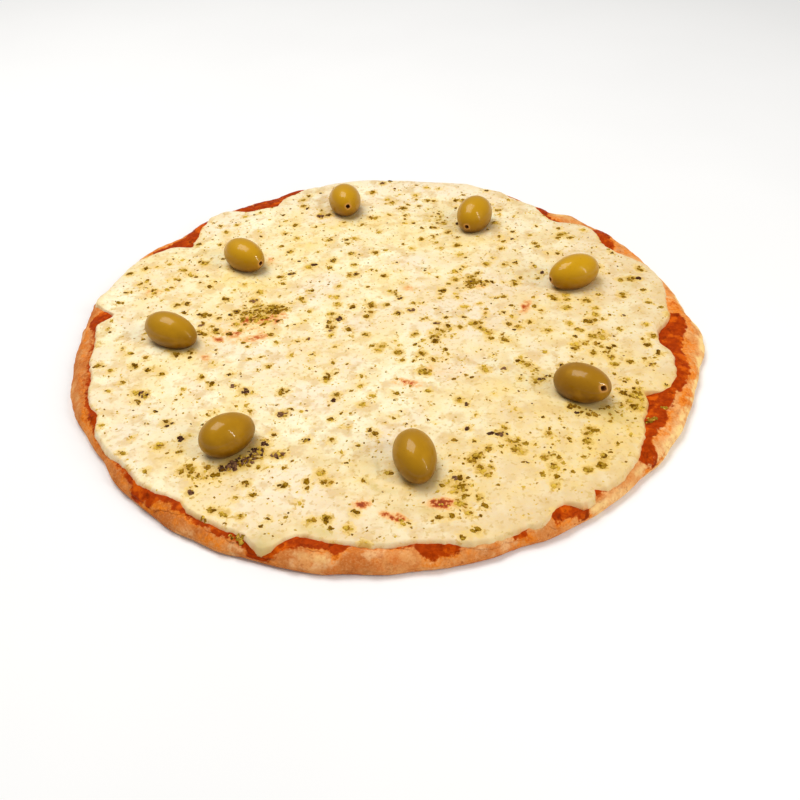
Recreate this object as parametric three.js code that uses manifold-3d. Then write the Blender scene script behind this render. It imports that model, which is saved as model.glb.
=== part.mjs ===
// A round mozzarella pizza: a thin baked crust, a film of tomato sauce, a thick sheet of melted
// cheese with dried herb flakes stuck in it, and eight green olives set in a ring.
// Millimetres, +Z up. The flat underside lies on z = 0 and +X is the photo's right.

import * as THREE from "three";
import { mergeVertices } from "three/addons/utils/BufferGeometryUtils.js";
import Module from "manifold-3d";

// ---- Driving dimensions ----

const CRUST_RADIUS = 161.5; // mean radius of the baked disc
const UNDERSIDE_INSET = 2.4; // the underside's edge is this far in from the widest part
const WIDEST_HEIGHT = 3.4; // height of the widest part of the rim
const CREST_HEIGHT = 7.6; // height of the rim's crest
const CREST_INSET = 8.5; // the crest is this far in from the outline
const FLOOR_HEIGHT = 5.4; // top of the crust under the sauce
const FLOOR_INSET = 22; // the flat floor starts this far in from the outline
const SHOULDER_POWER = 2.8; // how squarely the rim rounds over
const SAUCE_THICKNESS = 0.9;
const SAUCE_EDGE = 0.55; // thickness of the sauce at its outline
const CHEESE_LEVEL = 10.1; // mean height of the cheese's top
const CHEESE_EDGE = 1.5; // thickness of the cheese at its outline
const CHEESE_ROUNDING = 2.6; // how far in the edge of the cheese rounds over
const GAP = 0.3; // clearance between neighbouring pieces
const EDGE_MARGIN = 1.1; // toppings stay this far inside the crust's outline
const OLIVE_SUNK = 2.2; // depth of an olive in the cheese
const OLIVE_WELL_UP = 0.7; // the cheese rises this much against an olive
const OLIVE_WELL_REACH = 3.5; // and levels out over this distance
const OLIVE_TAPER = 0.07; // one end of an olive is this much slimmer than its middle
const PIT_HOLE_RADIUS = 1.5;
const PIT_HOLE_DEPTH = 3.2;
const PIT_HOLE_TAPER = 0.8; // radius at the hole's bottom, as a share of that at its mouth
const OLIVE_CLEARANCE = 0.4; // between an olive and its seat in the cheese
const FLAKE_PROUD = 0.55; // a flake stands this much out of the cheese
const FLAKE_ROOT = 0.9; // and reaches this far into it
const FLAKE_SMALLEST = 3.75; // shortest flake that is shaped here
const FLAKE_LONG = 4;
const FLAKE_SPREAD_RADIUS = 153;
const FLAKE_COUNT = 1000; // places on the spiral, of which the larger flakes are shaped
const FLAKE_SCATTER = 1.6; // a flake strays from its place by this share of the spacing
const FLAKE_LENGTHS = [1, 4, 2.1]; // the least length, the most added, the power of chance
const FLAKE_WIDTHS = [0.45, 0.4]; // the least width as a share of the length, the most added
const FLAKE_EDGE_ROOM = 3; // flakes stay this far in from the outline of the cheese
const SPIRAL_STEP = 137.508; // degrees between one place on the spiral and the next

const SECTORS = 160; // facets round the crust, sauce and cheese
const HIDDEN_DEPTH = 1; // skins cut away later run this far below what cuts them
const OLIVE_SIDES = 12;
const OLIVE_RINGS = 5;

// The crust bulges at one side, so its middle is moved over the origin.
const CENTRE_SHIFT = [-2, -1.8];

// ---- Outlines ----
// Each swell of an outline is [angle in degrees, reach in degrees, change of radius in mm].

const CRUST_SWELLS = [
  [49, 5, -4],
  [66, 4, 1.5],
  [105, 20, 2],
  [138, 4, -2],
  [148, 5, 2.2],
  [163, 6, 2],
  [188, 14, -0.8],
  [212, 8, -2.8],
  [254, 22, 1.6],
  [312, 14, -0.5],
  [353, 6, 4.4],
];

const CHEESE_RADIUS = 153;
const CHEESE_SWELLS = [
  [12, 8, 4.5],
  [26, 4, -2.5],
  [34, 4, 2],
  [44, 5, -7],
  [54, 5, 2],
  [84, 25, 10],
  [116, 3, -3.5],
  [127.5, 4.5, 9],
  [140, 4, -9],
  [158.5, 11.5, 6.5],
  [172, 2.5, -4],
  [190, 8, -2],
  [205, 2.5, -2],
  [243, 6, 2],
  [250.5, 2.4, 8],
  [259, 6, -3.5],
  [273, 8, -2.5],
  [288, 7, 4],
  [298, 2, -1.5],
  [305, 6, 2.5],
  [330, 7.5, -9.5],
  [341, 5, -4],
  [352, 5, -10],
];

// The sauce runs out from under the cheese by SAUCE_SHOWS and by these further spills.
const SAUCE_SHOWS = 1;
const SAUCE_ROUNDING = 2; // the film thickens over this distance in from its outline
const SAUCE_SHOULDER = 9;
const SAUCE_SPILLS = [
  [3.5, 5, 5],
  [22, 3, 3.5],
  [29, 4, 6],
  [48, 3, 5],
  [113, 7, 6],
  [123, 2, 7],
  [137, 6, 8],
  [147, 4, 5],
  [173, 2.5, 5],
  [196, 6, 2],
  [205, 3, 2.5],
  [227, 4, 6],
  [233, 3, 3.5],
  [243, 4, 2],
  [257, 6, 4.5],
  [276, 4.5, 5],
  [297, 3, 5],
  [317, 4, 8],
  [329, 9, 8],
  [344, 8, 6],
  [354, 5, 11],
];

// Waves round an outline or a rim: [waves in a turn, phase in degrees, height in mm].
const CRUST_WAVES = [
  [1, 0, 1.5],
  [17, 20, 0.35],
  [29, 200, 0.3],
  [43, 75, 0.25],
];
const RIM_LUMPS = [
  [11, 50, 0.3],
  [23, 140, 0.28],
  [37, 10, 0.22],
];
const CHEESE_WAVES = [
  [19, 100, 0.5],
  [31, 10, 0.45],
];

// Slow swells of the cheese's top: [direction in degrees, wavelength in mm, phase, height in mm].
const CHEESE_TOP_WAVES = [
  [20, 118, 40, 0.3],
  [95, 83, 160, 0.26],
  [150, 61, 250, 0.22],
  [60, 44, 10, 0.18],
  [125, 33, 95, 0.15],
  [5, 26, 300, 0.12],
];

// ---- Olives ----
// The middle's place, the direction of the end with the pit hole, the degrees by which that end
// is raised, the length, the diameter, and the slimmer end: 1 is the one with the hole.

const OLIVES = [
  { x: -19.8, y: 119.3, heading: 279, raised: 11, length: 25.5, across: 19.5, slim: 1 },
  { x: 57.1, y: 95.3, heading: 245, raised: -5, length: 26.5, across: 20.4, slim: 1 },
  { x: 104.6, y: 28.7, heading: 199, raised: -4, length: 28.8, across: 19.2, slim: 1 },
  { x: 91.7, y: -65.2, heading: 321, raised: 10, length: 29, across: 19, slim: 1 },
  { x: 11, y: -109.7, heading: 100, raised: 6, length: 27.6, across: 19, slim: -1 },
  { x: -71.4, y: -90.8, heading: 39, raised: -5, length: 27.2, across: 19.4, slim: 1 },
  { x: -108, y: -8.8, heading: 153, raised: 6, length: 29.2, across: 18.4, slim: -1 },
  { x: -76.4, y: 60.3, heading: 317, raised: 0, length: 27.2, across: 18.6, slim: 1 },
];

// ---- Herb flakes ----
// The flakes that catch the eye: [x, y, length, width, turn in degrees].

const LARGE_FLAKES = [
  [107, -8, 11.5, 3, -4],
  [-27.5, -1, 6, 5, 0],
  [-23, 5.5, 4.6, 4.2, 30],
  [-6, 17, 6, 3.4, 100],
  [47, -5, 8.5, 2.8, 22],
  [28, -4, 5, 2, 10],
  [-27, 62, 5.5, 4, 70],
  [107, 80, 7, 3, 25],
  [137, 29.5, 7, 4.2, 60],
  [-35, 115, 5.5, 4.6, 0],
  [-117, -50, 6, 4.4, 120],
  [-68, -52, 6.5, 4.4, 100],
  [-49, -69.5, 6, 4.5, 20],
  [51, -91, 7, 3, 0],
];

// Where flakes fell thickly: [x, y, spread in mm, count].
const FLAKE_CLUSTERS = [
  [-68, 14, 13, 26],
  [-82, 4, 16, 16],
  [50, 38, 9, 12],
  [37, 108, 8, 14],
  [-130, 42, 12, 16],
  [-112, 62, 16, 14],
  [107, -26, 13, 26],
  [112, -72, 13, 24],
  [72, -46, 10, 16],
  [-58, -98, 11, 22],
  [-82, -111, 12, 14],
  [38, -107, 9, 14],
  [70, -106, 14, 18],
  [28, -131, 13, 14],
  [-52, 10, 14, 12],
  [58, -6, 14, 14],
  [20, -30, 18, 16],
];

// ---- Small helpers ----

const radians = THREE.MathUtils.degToRad;

// 1 at the angle `at`, falling to nothing a little past `reach` degrees to either side.
function swell(angle, at, reach) {
  const away = Math.abs(((angle - at + 540) % 360) - 180);
  return Math.exp(-((away / reach) ** 4));
}

function swellSum(angle, swells) {
  return swells.reduce((sum, [at, reach, change]) => sum + change * swell(angle, at, reach), 0);
}

function waveSum(angle, waves) {
  return waves.reduce(
    (sum, [turns, phase, height]) => sum + height * Math.sin(radians(turns * angle + phase)),
    0,
  );
}

// A number from 0 to 1 that is always the same for the same flake and purpose.
function chance(flake, purpose) {
  let bits = (Math.imul(flake, 374761393) + Math.imul(purpose, 668265263)) >>> 0;
  bits = Math.imul(bits ^ (bits >>> 13), 1274126177) >>> 0;
  return ((bits ^ (bits >>> 16)) >>> 0) / 2 ** 32;
}

function angleOf(x, y) {
  return (THREE.MathUtils.radToDeg(Math.atan2(y, x)) + 360) % 360;
}

// ---- The surfaces ----

function crustRadius(angle) {
  return CRUST_RADIUS + swellSum(angle, CRUST_SWELLS) + waveSum(angle, CRUST_WAVES);
}

function cheeseRadius(angle) {
  const radius = CHEESE_RADIUS + swellSum(angle, CHEESE_SWELLS) + waveSum(angle, CHEESE_WAVES);
  return Math.min(radius, crustRadius(angle) - EDGE_MARGIN);
}

function sauceRadius(angle) {
  const radius = cheeseRadius(angle) + SAUCE_SHOWS + swellSum(angle, SAUCE_SPILLS);
  return Math.min(radius, crustRadius(angle) - EDGE_MARGIN);
}

// Height of the crust's top at a distance in from its outline.
function crustTop(angle, inset) {
  const lumps = waveSum(angle, RIM_LUMPS) * Math.max(0, 1 - inset / FLOOR_INSET);
  if (inset < CREST_INSET) {
    const drop = ((CREST_INSET - inset) / CREST_INSET) ** SHOULDER_POWER;
    return CREST_HEIGHT - (CREST_HEIGHT - WIDEST_HEIGHT) * drop + lumps;
  }
  const down = THREE.MathUtils.smoothstep(inset, CREST_INSET, FLOOR_INSET);
  return CREST_HEIGHT - (CREST_HEIGHT - FLOOR_HEIGHT) * down + lumps;
}

function crustTopAt(angle, radius) {
  return crustTop(angle, crustRadius(angle) - radius);
}

function sauceTop(angle, radius) {
  const inside = sauceRadius(angle) - radius;
  const full = Math.min(1, inside / SAUCE_ROUNDING);
  const thickness = THREE.MathUtils.lerp(SAUCE_EDGE, SAUCE_THICKNESS, full);
  return crustTopAt(angle, radius) + GAP + thickness;
}

// Distance in plan from a point to the line between an olive's two ends.
function distanceToOlive(x, y, olive) {
  const half = (olive.length - olive.across) / 2;
  const along = new THREE.Vector2(Math.cos(radians(olive.heading)), Math.sin(radians(olive.heading)));
  const from = new THREE.Vector2(x - olive.x, y - olive.y);
  const reach = THREE.MathUtils.clamp(from.dot(along), -half, half);
  return from.addScaledVector(along, -reach).length();
}

function cheeseLevel(x, y) {
  let height = CHEESE_LEVEL;
  for (const [direction, length, phase, rise] of CHEESE_TOP_WAVES) {
    const run = x * Math.cos(radians(direction)) + y * Math.sin(radians(direction));
    height += rise * Math.sin((2 * Math.PI * run) / length + radians(phase));
  }
  for (const olive of OLIVES) {
    const away = distanceToOlive(x, y, olive) - olive.across / 2;
    height += OLIVE_WELL_UP * Math.exp(-((away / OLIVE_WELL_REACH) ** 2));
  }
  return height;
}

function cheeseTop(angle, radius) {
  const level = cheeseLevel(radius * Math.cos(radians(angle)), radius * Math.sin(radians(angle)));
  const inside = Math.max(0, cheeseRadius(angle) - radius);
  const edge = crustTopAt(angle, cheeseRadius(angle)) + 2 * GAP + SAUCE_EDGE + CHEESE_EDGE;
  return level - (level - edge) * Math.exp(-inside / CHEESE_ROUNDING);
}

// ---- Turning rings of points into a closed skin ----

function ring(count, pointAt) {
  const points = [];
  for (let k = 0; k < count; k++) {
    const angle = (360 * k) / count;
    const [radius, height] = pointAt(angle);
    points.push([radius * Math.cos(radians(angle)), radius * Math.sin(radians(angle)), height]);
  }
  return points;
}

// Joins rings that run from the middle of the underside out, up and in to the middle of the
// top. A ring may have twice or half the points of the one before it; a middle is one point.
function skin(rings) {
  const indices = [];
  let start = 0;
  for (let j = 0; j + 1 < rings.length; j++) {
    const next = start + rings[j].length;
    const steps = Math.max(rings[j].length, rings[j + 1].length);
    const below = (s) => start + (Math.floor((s * rings[j].length) / steps) % rings[j].length);
    const above = (s) => next + (Math.floor((s * rings[j + 1].length) / steps) % rings[j + 1].length);
    for (let s = 0; s < steps; s++) {
      if (below(s) !== below(s + 1)) indices.push(below(s), below(s + 1), above(s));
      if (above(s) !== above(s + 1)) indices.push(below(s + 1), above(s + 1), above(s));
    }
    start = next;
  }
  const geometry = new THREE.BufferGeometry();
  geometry.setAttribute("position", new THREE.Float32BufferAttribute(rings.flat(2), 3));
  geometry.setIndex(indices);
  return geometry;
}

// ---- Joining and cutting ----

const wasm = await Module();
wasm.setup();

function toSolid(geometry) {
  const bare = geometry.clone();
  bare.deleteAttribute("normal");
  bare.deleteAttribute("uv");
  const merged = mergeVertices(bare);
  return new wasm.Manifold(
    new wasm.Mesh({
      numProp: 3,
      vertProperties: merged.attributes.position.array,
      triVerts: new Uint32Array(merged.index.array),
    }),
  );
}

function toGeometry(solid) {
  const mesh = solid.getMesh();
  const geometry = new THREE.BufferGeometry();
  geometry.setAttribute("position", new THREE.BufferAttribute(new Float32Array(mesh.vertProperties), 3));
  geometry.setIndex([...mesh.triVerts]);
  return geometry;
}

// ---- Crust ----

// The rings of the rim: [share of the way in from the outline to the crest, point count].
const RIM_RINGS = [
  [0, SECTORS],
  [0.22, SECTORS],
  [0.6, SECTORS / 2],
  [1.1, SECTORS / 2],
];

function crustGeometry() {
  const top = (count, inset) =>
    ring(count, (a) => [crustRadius(a) - inset, crustTop(a, inset)]);
  const rim = RIM_RINGS.map(([share, count]) => top(count, share * CREST_INSET));
  const underside = ring(SECTORS, (a) => [crustRadius(a) - UNDERSIDE_INSET, 0]);
  const floor = top(SECTORS / 4, FLOOR_INSET);
  return skin([[[0, 0, 0]], underside, ...rim, floor, [[0, 0, FLOOR_HEIGHT]]]);
}

// ---- Sauce ----

// The film before it is cut along the crust's top, with its skin well inside the crust.
function sauceFilm() {
  const top = (count, inset) =>
    ring(count, (a) => [sauceRadius(a) - inset, sauceTop(a, sauceRadius(a) - inset)]);
  return skin([
    [[0, 0, FLOOR_HEIGHT - HIDDEN_DEPTH]],
    ring(SECTORS, (a) => [sauceRadius(a), WIDEST_HEIGHT - HIDDEN_DEPTH]),
    top(SECTORS, 0),
    top(SECTORS, SAUCE_ROUNDING),
    top(SECTORS / 2, SAUCE_SHOULDER),
    top(SECTORS / 4, FLOOR_INSET),
    [[0, 0, FLOOR_HEIGHT + GAP + SAUCE_THICKNESS]],
  ]);
}

// ---- Olives ----

// An egg-shaped body of revolution about its long axis, which is Y here. `grow` makes it
// larger all round. With a pit hole, the profile turns in at the +Y end.
function oliveGeometry(olive, grow, hasHole) {
  const half = olive.length / 2 + grow;
  const wide = olive.across / 2 + grow;
  const widthAt = (share) =>
    wide * Math.sqrt(1 - share * share) * (1 - olive.slim * OLIVE_TAPER * share);
  const profile = [new THREE.Vector2(0, -half)];
  for (let k = 1; k <= OLIVE_RINGS; k++) {
    const share = -Math.cos((Math.PI * k) / (OLIVE_RINGS + 1));
    profile.push(new THREE.Vector2(widthAt(share), half * share));
  }
  if (hasHole) {
    const rim = half * Math.sqrt(1 - (PIT_HOLE_RADIUS / wide) ** 2);
    profile.push(new THREE.Vector2(PIT_HOLE_RADIUS, rim));
    profile.push(new THREE.Vector2(PIT_HOLE_RADIUS * PIT_HOLE_TAPER, rim - PIT_HOLE_DEPTH));
    profile.push(new THREE.Vector2(0, rim - PIT_HOLE_DEPTH));
  } else {
    profile.push(new THREE.Vector2(0, half));
  }
  return new THREE.LatheGeometry(profile, OLIVE_SIDES);
}

function placeOlive(object, olive) {
  const rise = radians(olive.raised);
  const axis = new THREE.Vector3(
    Math.cos(radians(olive.heading)) * Math.cos(rise),
    Math.sin(radians(olive.heading)) * Math.cos(rise),
    Math.sin(rise),
  );
  object.quaternion.setFromUnitVectors(new THREE.Vector3(0, 1, 0), axis);
  const rest = cheeseLevel(olive.x, olive.y) - OLIVE_SUNK + olive.across / 2;
  object.position.set(olive.x, olive.y, rest);
  object.updateMatrix();
}

// ---- Herb flakes ----

// Flakes of each sort are numbered from here on.
const FIRST_SPREAD_FLAKE = 100;
const FIRST_CLUSTER_FLAKE = 2000;
const CLUSTER_POWER = 0.75; // how strongly a cluster thickens towards its middle

// What a number drawn for a flake is for. Its corners use one number each from the last two on.
const FOR_FIRST_PLACE = 1;
const FOR_SECOND_PLACE = 2;
const FOR_LENGTH = 3;
const FOR_WIDTH = 4;
const FOR_TURN = 5;
const FOR_CORNER_ANGLES = 10;
const FOR_CORNER_REACH = 20;

// All flake places, large and small: x, y, length, width, turn and the flake's own number.
function flakePlaces() {
  const places = LARGE_FLAKES.map(([x, y, length, width, turn], k) => {
    return { x, y, length, width, turn, number: k };
  });
  const addFlake = (x, y, number) => {
    const [shortest, added, power] = FLAKE_LENGTHS;
    const [slimmest, broader] = FLAKE_WIDTHS;
    const length = shortest + added * chance(number, FOR_LENGTH) ** power;
    const width = length * (slimmest + broader * chance(number, FOR_WIDTH));
    places.push({ x, y, length, width, turn: 360 * chance(number, FOR_TURN), number });
  };
  const spacing = FLAKE_SPREAD_RADIUS * Math.sqrt(Math.PI / FLAKE_COUNT);
  for (let k = 0; k < FLAKE_COUNT; k++) {
    const number = FIRST_SPREAD_FLAKE + k;
    const radius = FLAKE_SPREAD_RADIUS * Math.sqrt((k + 0.5) / FLAKE_COUNT);
    const angle = radians(k * SPIRAL_STEP);
    const strayX = spacing * FLAKE_SCATTER * (chance(number, FOR_FIRST_PLACE) - 0.5);
    const strayY = spacing * FLAKE_SCATTER * (chance(number, FOR_SECOND_PLACE) - 0.5);
    addFlake(radius * Math.cos(angle) + strayX, radius * Math.sin(angle) + strayY, number);
  }
  let number = FIRST_CLUSTER_FLAKE;
  for (const [x, y, spread, count] of FLAKE_CLUSTERS) {
    for (let k = 0; k < count; k++) {
      const away = spread * chance(number, FOR_FIRST_PLACE) ** CLUSTER_POWER;
      const angle = radians(360 * chance(number, FOR_SECOND_PLACE));
      addFlake(x + away * Math.cos(angle), y + away * Math.sin(angle), number);
      number++;
    }
  }
  return places;
}

// True where a flake lies on the cheese, off its edge and clear of every olive.
function liesOnCheese(flake) {
  const half = flake.length / 2;
  const edge = cheeseRadius(angleOf(flake.x, flake.y)) - FLAKE_EDGE_ROOM - half;
  const clearOf = (olive) =>
    distanceToOlive(flake.x, flake.y, olive) > olive.across / 2 + half + 2 * GAP;
  return Math.hypot(flake.x, flake.y) < edge && OLIVES.every(clearOf);
}

const FLAKE_CORNERS = 5;
const FLAKE_CORNER_SHIFT = 0.5; // a corner strays by up to this share of the way to the next
const FLAKE_CORNER_REACH = [0.8, 0.4]; // the least reach of a corner, the most added

// A small uneven plate lying on the cheese with its root in it. A long one has a corner more.
function flakeGeometry(flake) {
  const corners = flake.length > FLAKE_LONG ? FLAKE_CORNERS + 1 : FLAKE_CORNERS;
  const [nearest, further] = FLAKE_CORNER_REACH;
  const outline = new THREE.Shape();
  for (let k = 0; k < corners; k++) {
    const shift = FLAKE_CORNER_SHIFT * chance(flake.number, FOR_CORNER_ANGLES + k);
    const angle = (2 * Math.PI * (k + shift)) / corners;
    const uneven = nearest + further * chance(flake.number, FOR_CORNER_REACH + k);
    const x = (flake.length / 2) * uneven * Math.cos(angle);
    const y = (flake.width / 2) * uneven * Math.sin(angle);
    if (k === 0) outline.moveTo(x, y);
    else outline.lineTo(x, y);
  }
  outline.closePath();
  const depth = FLAKE_PROUD + FLAKE_ROOT;
  const plate = new THREE.ExtrudeGeometry(outline, { depth, bevelEnabled: false });
  const level = cheeseTop(angleOf(flake.x, flake.y), Math.hypot(flake.x, flake.y));
  plate.rotateZ(radians(flake.turn));
  plate.translate(flake.x, flake.y, level - FLAKE_ROOT);
  return plate;
}

// Large flakes first, each kept only where it stays clear of those already there.
function shapedFlakes() {
  const kept = [];
  const places = flakePlaces().filter((f) => f.length >= FLAKE_SMALLEST && liesOnCheese(f));
  places.sort((a, b) => b.length - a.length || a.number - b.number);
  for (const flake of places) {
    const clearOf = (other) =>
      Math.hypot(flake.x - other.x, flake.y - other.y) > (flake.length + other.length) / 2;
    if (kept.every(clearOf)) kept.push(flake);
  }
  return kept;
}

// ---- Cheese ----

// The rings of the cheese's top: [share of the way from the middle to the edge, point count].
const CHEESE_RINGS = [
  [1, SECTORS],
  [0.992, SECTORS],
  [0.965, SECTORS],
  [0.885, SECTORS],
  [0.79, SECTORS / 2],
  [0.71, SECTORS / 2],
  [0.62, SECTORS / 2],
  [0.53, SECTORS / 2],
  [0.42, SECTORS / 2],
  [0.3, SECTORS / 4],
  [0.17, SECTORS / 8],
];

function cheeseSheet() {
  const rings = CHEESE_RINGS.map(([share, count]) =>
    ring(count, (a) => [share * cheeseRadius(a), cheeseTop(a, share * cheeseRadius(a))]),
  );
  const under = ring(SECTORS, (a) => [cheeseRadius(a), WIDEST_HEIGHT - HIDDEN_DEPTH]);
  const underMiddle = [[0, 0, FLOOR_HEIGHT - HIDDEN_DEPTH]];
  return skin([underMiddle, under, ...rings, [[0, 0, cheeseTop(0, 0)]]]);
}

// ---- The pieces ----

const crust = crustGeometry();
const raisedCrust = toSolid(crust).translate([0, 0, GAP]);
const film = toSolid(sauceFilm());
const sauce = toGeometry(film.subtract(raisedCrust));

// The cheese keeps GAP above the sauce and SAUCE_SIDE_GAP beside the sauce's edge.
const SAUCE_SIDE_GAP = 0.39;
const besideSauce = 1 + SAUCE_SIDE_GAP / CHEESE_RADIUS;
const raisedSauce = film.scale([besideSauce, besideSauce, 1]).translate([0, 0, GAP]);

function cheeseGeometry() {
  let cheese = toSolid(cheeseSheet());
  for (const flake of shapedFlakes()) cheese = cheese.add(toSolid(flakeGeometry(flake)));
  cheese = cheese.subtract(raisedCrust).subtract(raisedSauce);
  for (const olive of OLIVES) {
    const seat = new THREE.Object3D();
    placeOlive(seat, olive);
    const hollow = oliveGeometry(olive, OLIVE_CLEARANCE, false).applyMatrix4(seat.matrix);
    cheese = cheese.subtract(toSolid(hollow));
  }
  return toGeometry(cheese);
}

const crustMaterial = new THREE.MeshStandardMaterial({ color: 0xd9935c, roughness: 0.85 });
const sauceMaterial = new THREE.MeshStandardMaterial({ color: 0xb33a08, roughness: 0.45 });
const cheeseMaterial = new THREE.MeshStandardMaterial({ color: 0xfff0c3, roughness: 0.4 });
const oliveMaterial = new THREE.MeshStandardMaterial({ color: 0x9b6f07, roughness: 0.25 });

function addPiece(group, name, geometry, material) {
  const mesh = new THREE.Mesh(geometry, material);
  mesh.name = name;
  geometry.computeVertexNormals();
  group.add(mesh);
  return mesh;
}

const pizza = new THREE.Group();
addPiece(pizza, "crust", crust, crustMaterial);
addPiece(pizza, "sauce", sauce, sauceMaterial);
addPiece(pizza, "cheese", cheeseGeometry(), cheeseMaterial);
OLIVES.forEach((olive, k) => {
  const mesh = addPiece(pizza, `olive_${k + 1}`, oliveGeometry(olive, 0, true), oliveMaterial);
  placeOlive(mesh, olive);
});
pizza.position.set(CENTRE_SHIFT[0], CENTRE_SHIFT[1], 0);

export default pizza;
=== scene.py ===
"""The looks of a mozzarella pizza: baked crust, tomato sauce, melted cheese, olives and herbs.

Lengths are in millimetres until a mesh is made, which is in metres. +Z is up and +X is right.
"""

import math

import bpy
import numpy as np
from mathutils import Matrix


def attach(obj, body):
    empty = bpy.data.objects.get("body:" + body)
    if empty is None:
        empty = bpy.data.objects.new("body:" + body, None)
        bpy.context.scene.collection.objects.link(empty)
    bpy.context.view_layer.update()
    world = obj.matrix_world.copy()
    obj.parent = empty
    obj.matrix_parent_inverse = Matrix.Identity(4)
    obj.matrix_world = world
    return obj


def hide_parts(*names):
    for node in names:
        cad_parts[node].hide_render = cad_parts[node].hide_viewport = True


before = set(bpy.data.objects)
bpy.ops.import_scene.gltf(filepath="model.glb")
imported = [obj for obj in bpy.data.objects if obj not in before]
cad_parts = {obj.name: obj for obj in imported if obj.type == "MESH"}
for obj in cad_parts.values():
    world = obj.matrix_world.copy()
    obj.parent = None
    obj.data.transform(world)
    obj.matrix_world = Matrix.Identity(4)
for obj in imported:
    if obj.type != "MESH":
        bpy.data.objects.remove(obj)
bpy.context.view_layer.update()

MM = 0.001

# ---- Driving dimensions, as in the solids ----

CRUST_RADIUS = 161.5
UNDERSIDE_INSET = 2.4
WIDEST_HEIGHT = 3.4
CREST_HEIGHT = 7.6
CREST_INSET = 8.5
FLOOR_HEIGHT = 5.4
FLOOR_INSET = 22
SHOULDER_POWER = 2.8
SAUCE_THICKNESS = 0.9
SAUCE_EDGE = 0.55
SAUCE_SHOWS = 1
SAUCE_ROUNDING = 2
CHEESE_LEVEL = 10.1
CHEESE_EDGE = 1.5
CHEESE_ROUNDING = 2.6
CHEESE_RADIUS = 153
GAP = 0.3
EDGE_MARGIN = 1.1
OLIVE_SUNK = 2.2
OLIVE_WELL_UP = 0.7
OLIVE_WELL_REACH = 3.5
OLIVE_TAPER = 0.07
PIT_HOLE_RADIUS = 1.5
PIT_HOLE_DEPTH = 3.2
CENTRE_SHIFT = (-2, -1.8)

# Each swell of an outline is (angle in degrees, reach in degrees, change of radius).
CRUST_SWELLS = (
    (49, 5, -4), (66, 4, 1.5), (105, 20, 2), (138, 4, -2), (148, 5, 2.2), (163, 6, 2),
    (188, 14, -0.8), (212, 8, -2.8), (254, 22, 1.6), (312, 14, -0.5), (353, 6, 4.4),
)
CHEESE_SWELLS = (
    (12, 8, 4.5), (26, 4, -2.5), (34, 4, 2), (44, 5, -7), (54, 5, 2), (84, 25, 10), (116, 3, -3.5),
    (127.5, 4.5, 9), (140, 4, -9), (158.5, 11.5, 6.5), (172, 2.5, -4), (190, 8, -2),
    (205, 2.5, -2), (243, 6, 2), (250.5, 2.4, 8), (259, 6, -3.5), (273, 8, -2.5), (288, 7, 4),
    (298, 2, -1.5), (305, 6, 2.5), (330, 7.5, -9.5), (341, 5, -4), (352, 5, -10),
)
SAUCE_SPILLS = (
    (3.5, 5, 5), (22, 3, 3.5), (29, 4, 6), (48, 3, 5), (113, 7, 6), (123, 2, 7), (137, 6, 8),
    (147, 4, 5), (173, 2.5, 5), (196, 6, 2), (205, 3, 2.5), (227, 4, 6), (233, 3, 3.5),
    (243, 4, 2), (257, 6, 4.5), (276, 4.5, 5), (297, 3, 5), (317, 4, 8), (329, 9, 8), (344, 8, 6),
    (354, 5, 11),
)

# Waves round an outline or a rim: (waves in a turn, phase in degrees, height).
CRUST_WAVES = ((1, 0, 1.5), (17, 20, 0.35), (29, 200, 0.3), (43, 75, 0.25))
RIM_LUMPS = ((11, 50, 0.3), (23, 140, 0.28), (37, 10, 0.22))
CHEESE_WAVES = ((19, 100, 0.5), (31, 10, 0.45))

# Slow swells of the cheese's top: (direction in degrees, wavelength, phase, height).
CHEESE_TOP_WAVES = (
    (20, 118, 40, 0.3), (95, 83, 160, 0.26), (150, 61, 250, 0.22), (60, 44, 10, 0.18),
    (125, 33, 95, 0.15), (5, 26, 300, 0.12),
)

# (x, y, heading, raised, length, across, slim end) of each olive.
OLIVES = (
    (-19.8, 119.3, 279, 11, 25.5, 19.5, 1), (57.1, 95.3, 245, -5, 26.5, 20.4, 1),
    (104.6, 28.7, 199, -4, 28.8, 19.2, 1), (91.7, -65.2, 321, 10, 29, 19, 1),
    (11, -109.7, 100, 6, 27.6, 19, -1), (-71.4, -90.8, 39, -5, 27.2, 19.4, 1),
    (-108, -8.8, 153, 6, 29.2, 18.4, -1), (-76.4, 60.3, 317, 0, 27.2, 18.6, 1),
)

# ---- Herb flakes, as in the solids ----

FLAKE_SPREAD_RADIUS = 153
FLAKE_COUNT = 1000
FLAKE_SCATTER = 1.6
FLAKE_LENGTHS = (1, 4, 2.1)
FLAKE_WIDTHS = (0.45, 0.4)
SPIRAL_STEP = 137.508
FIRST_SPREAD_FLAKE = 100
FIRST_CLUSTER_FLAKE = 2000
CLUSTER_POWER = 0.75

GREEN, BROWN, PURPLE = range(3)

# What a draw of chance is for.
FOR_FIRST_PLACE, FOR_SECOND_PLACE, FOR_LENGTH, FOR_WIDTH, FOR_TURN, FOR_KIND = range(1, 7)
FOR_CORNERS = 30
FOR_HEIGHTS = 60
FOR_BITS = 90
FOR_TONE = 120

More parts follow.
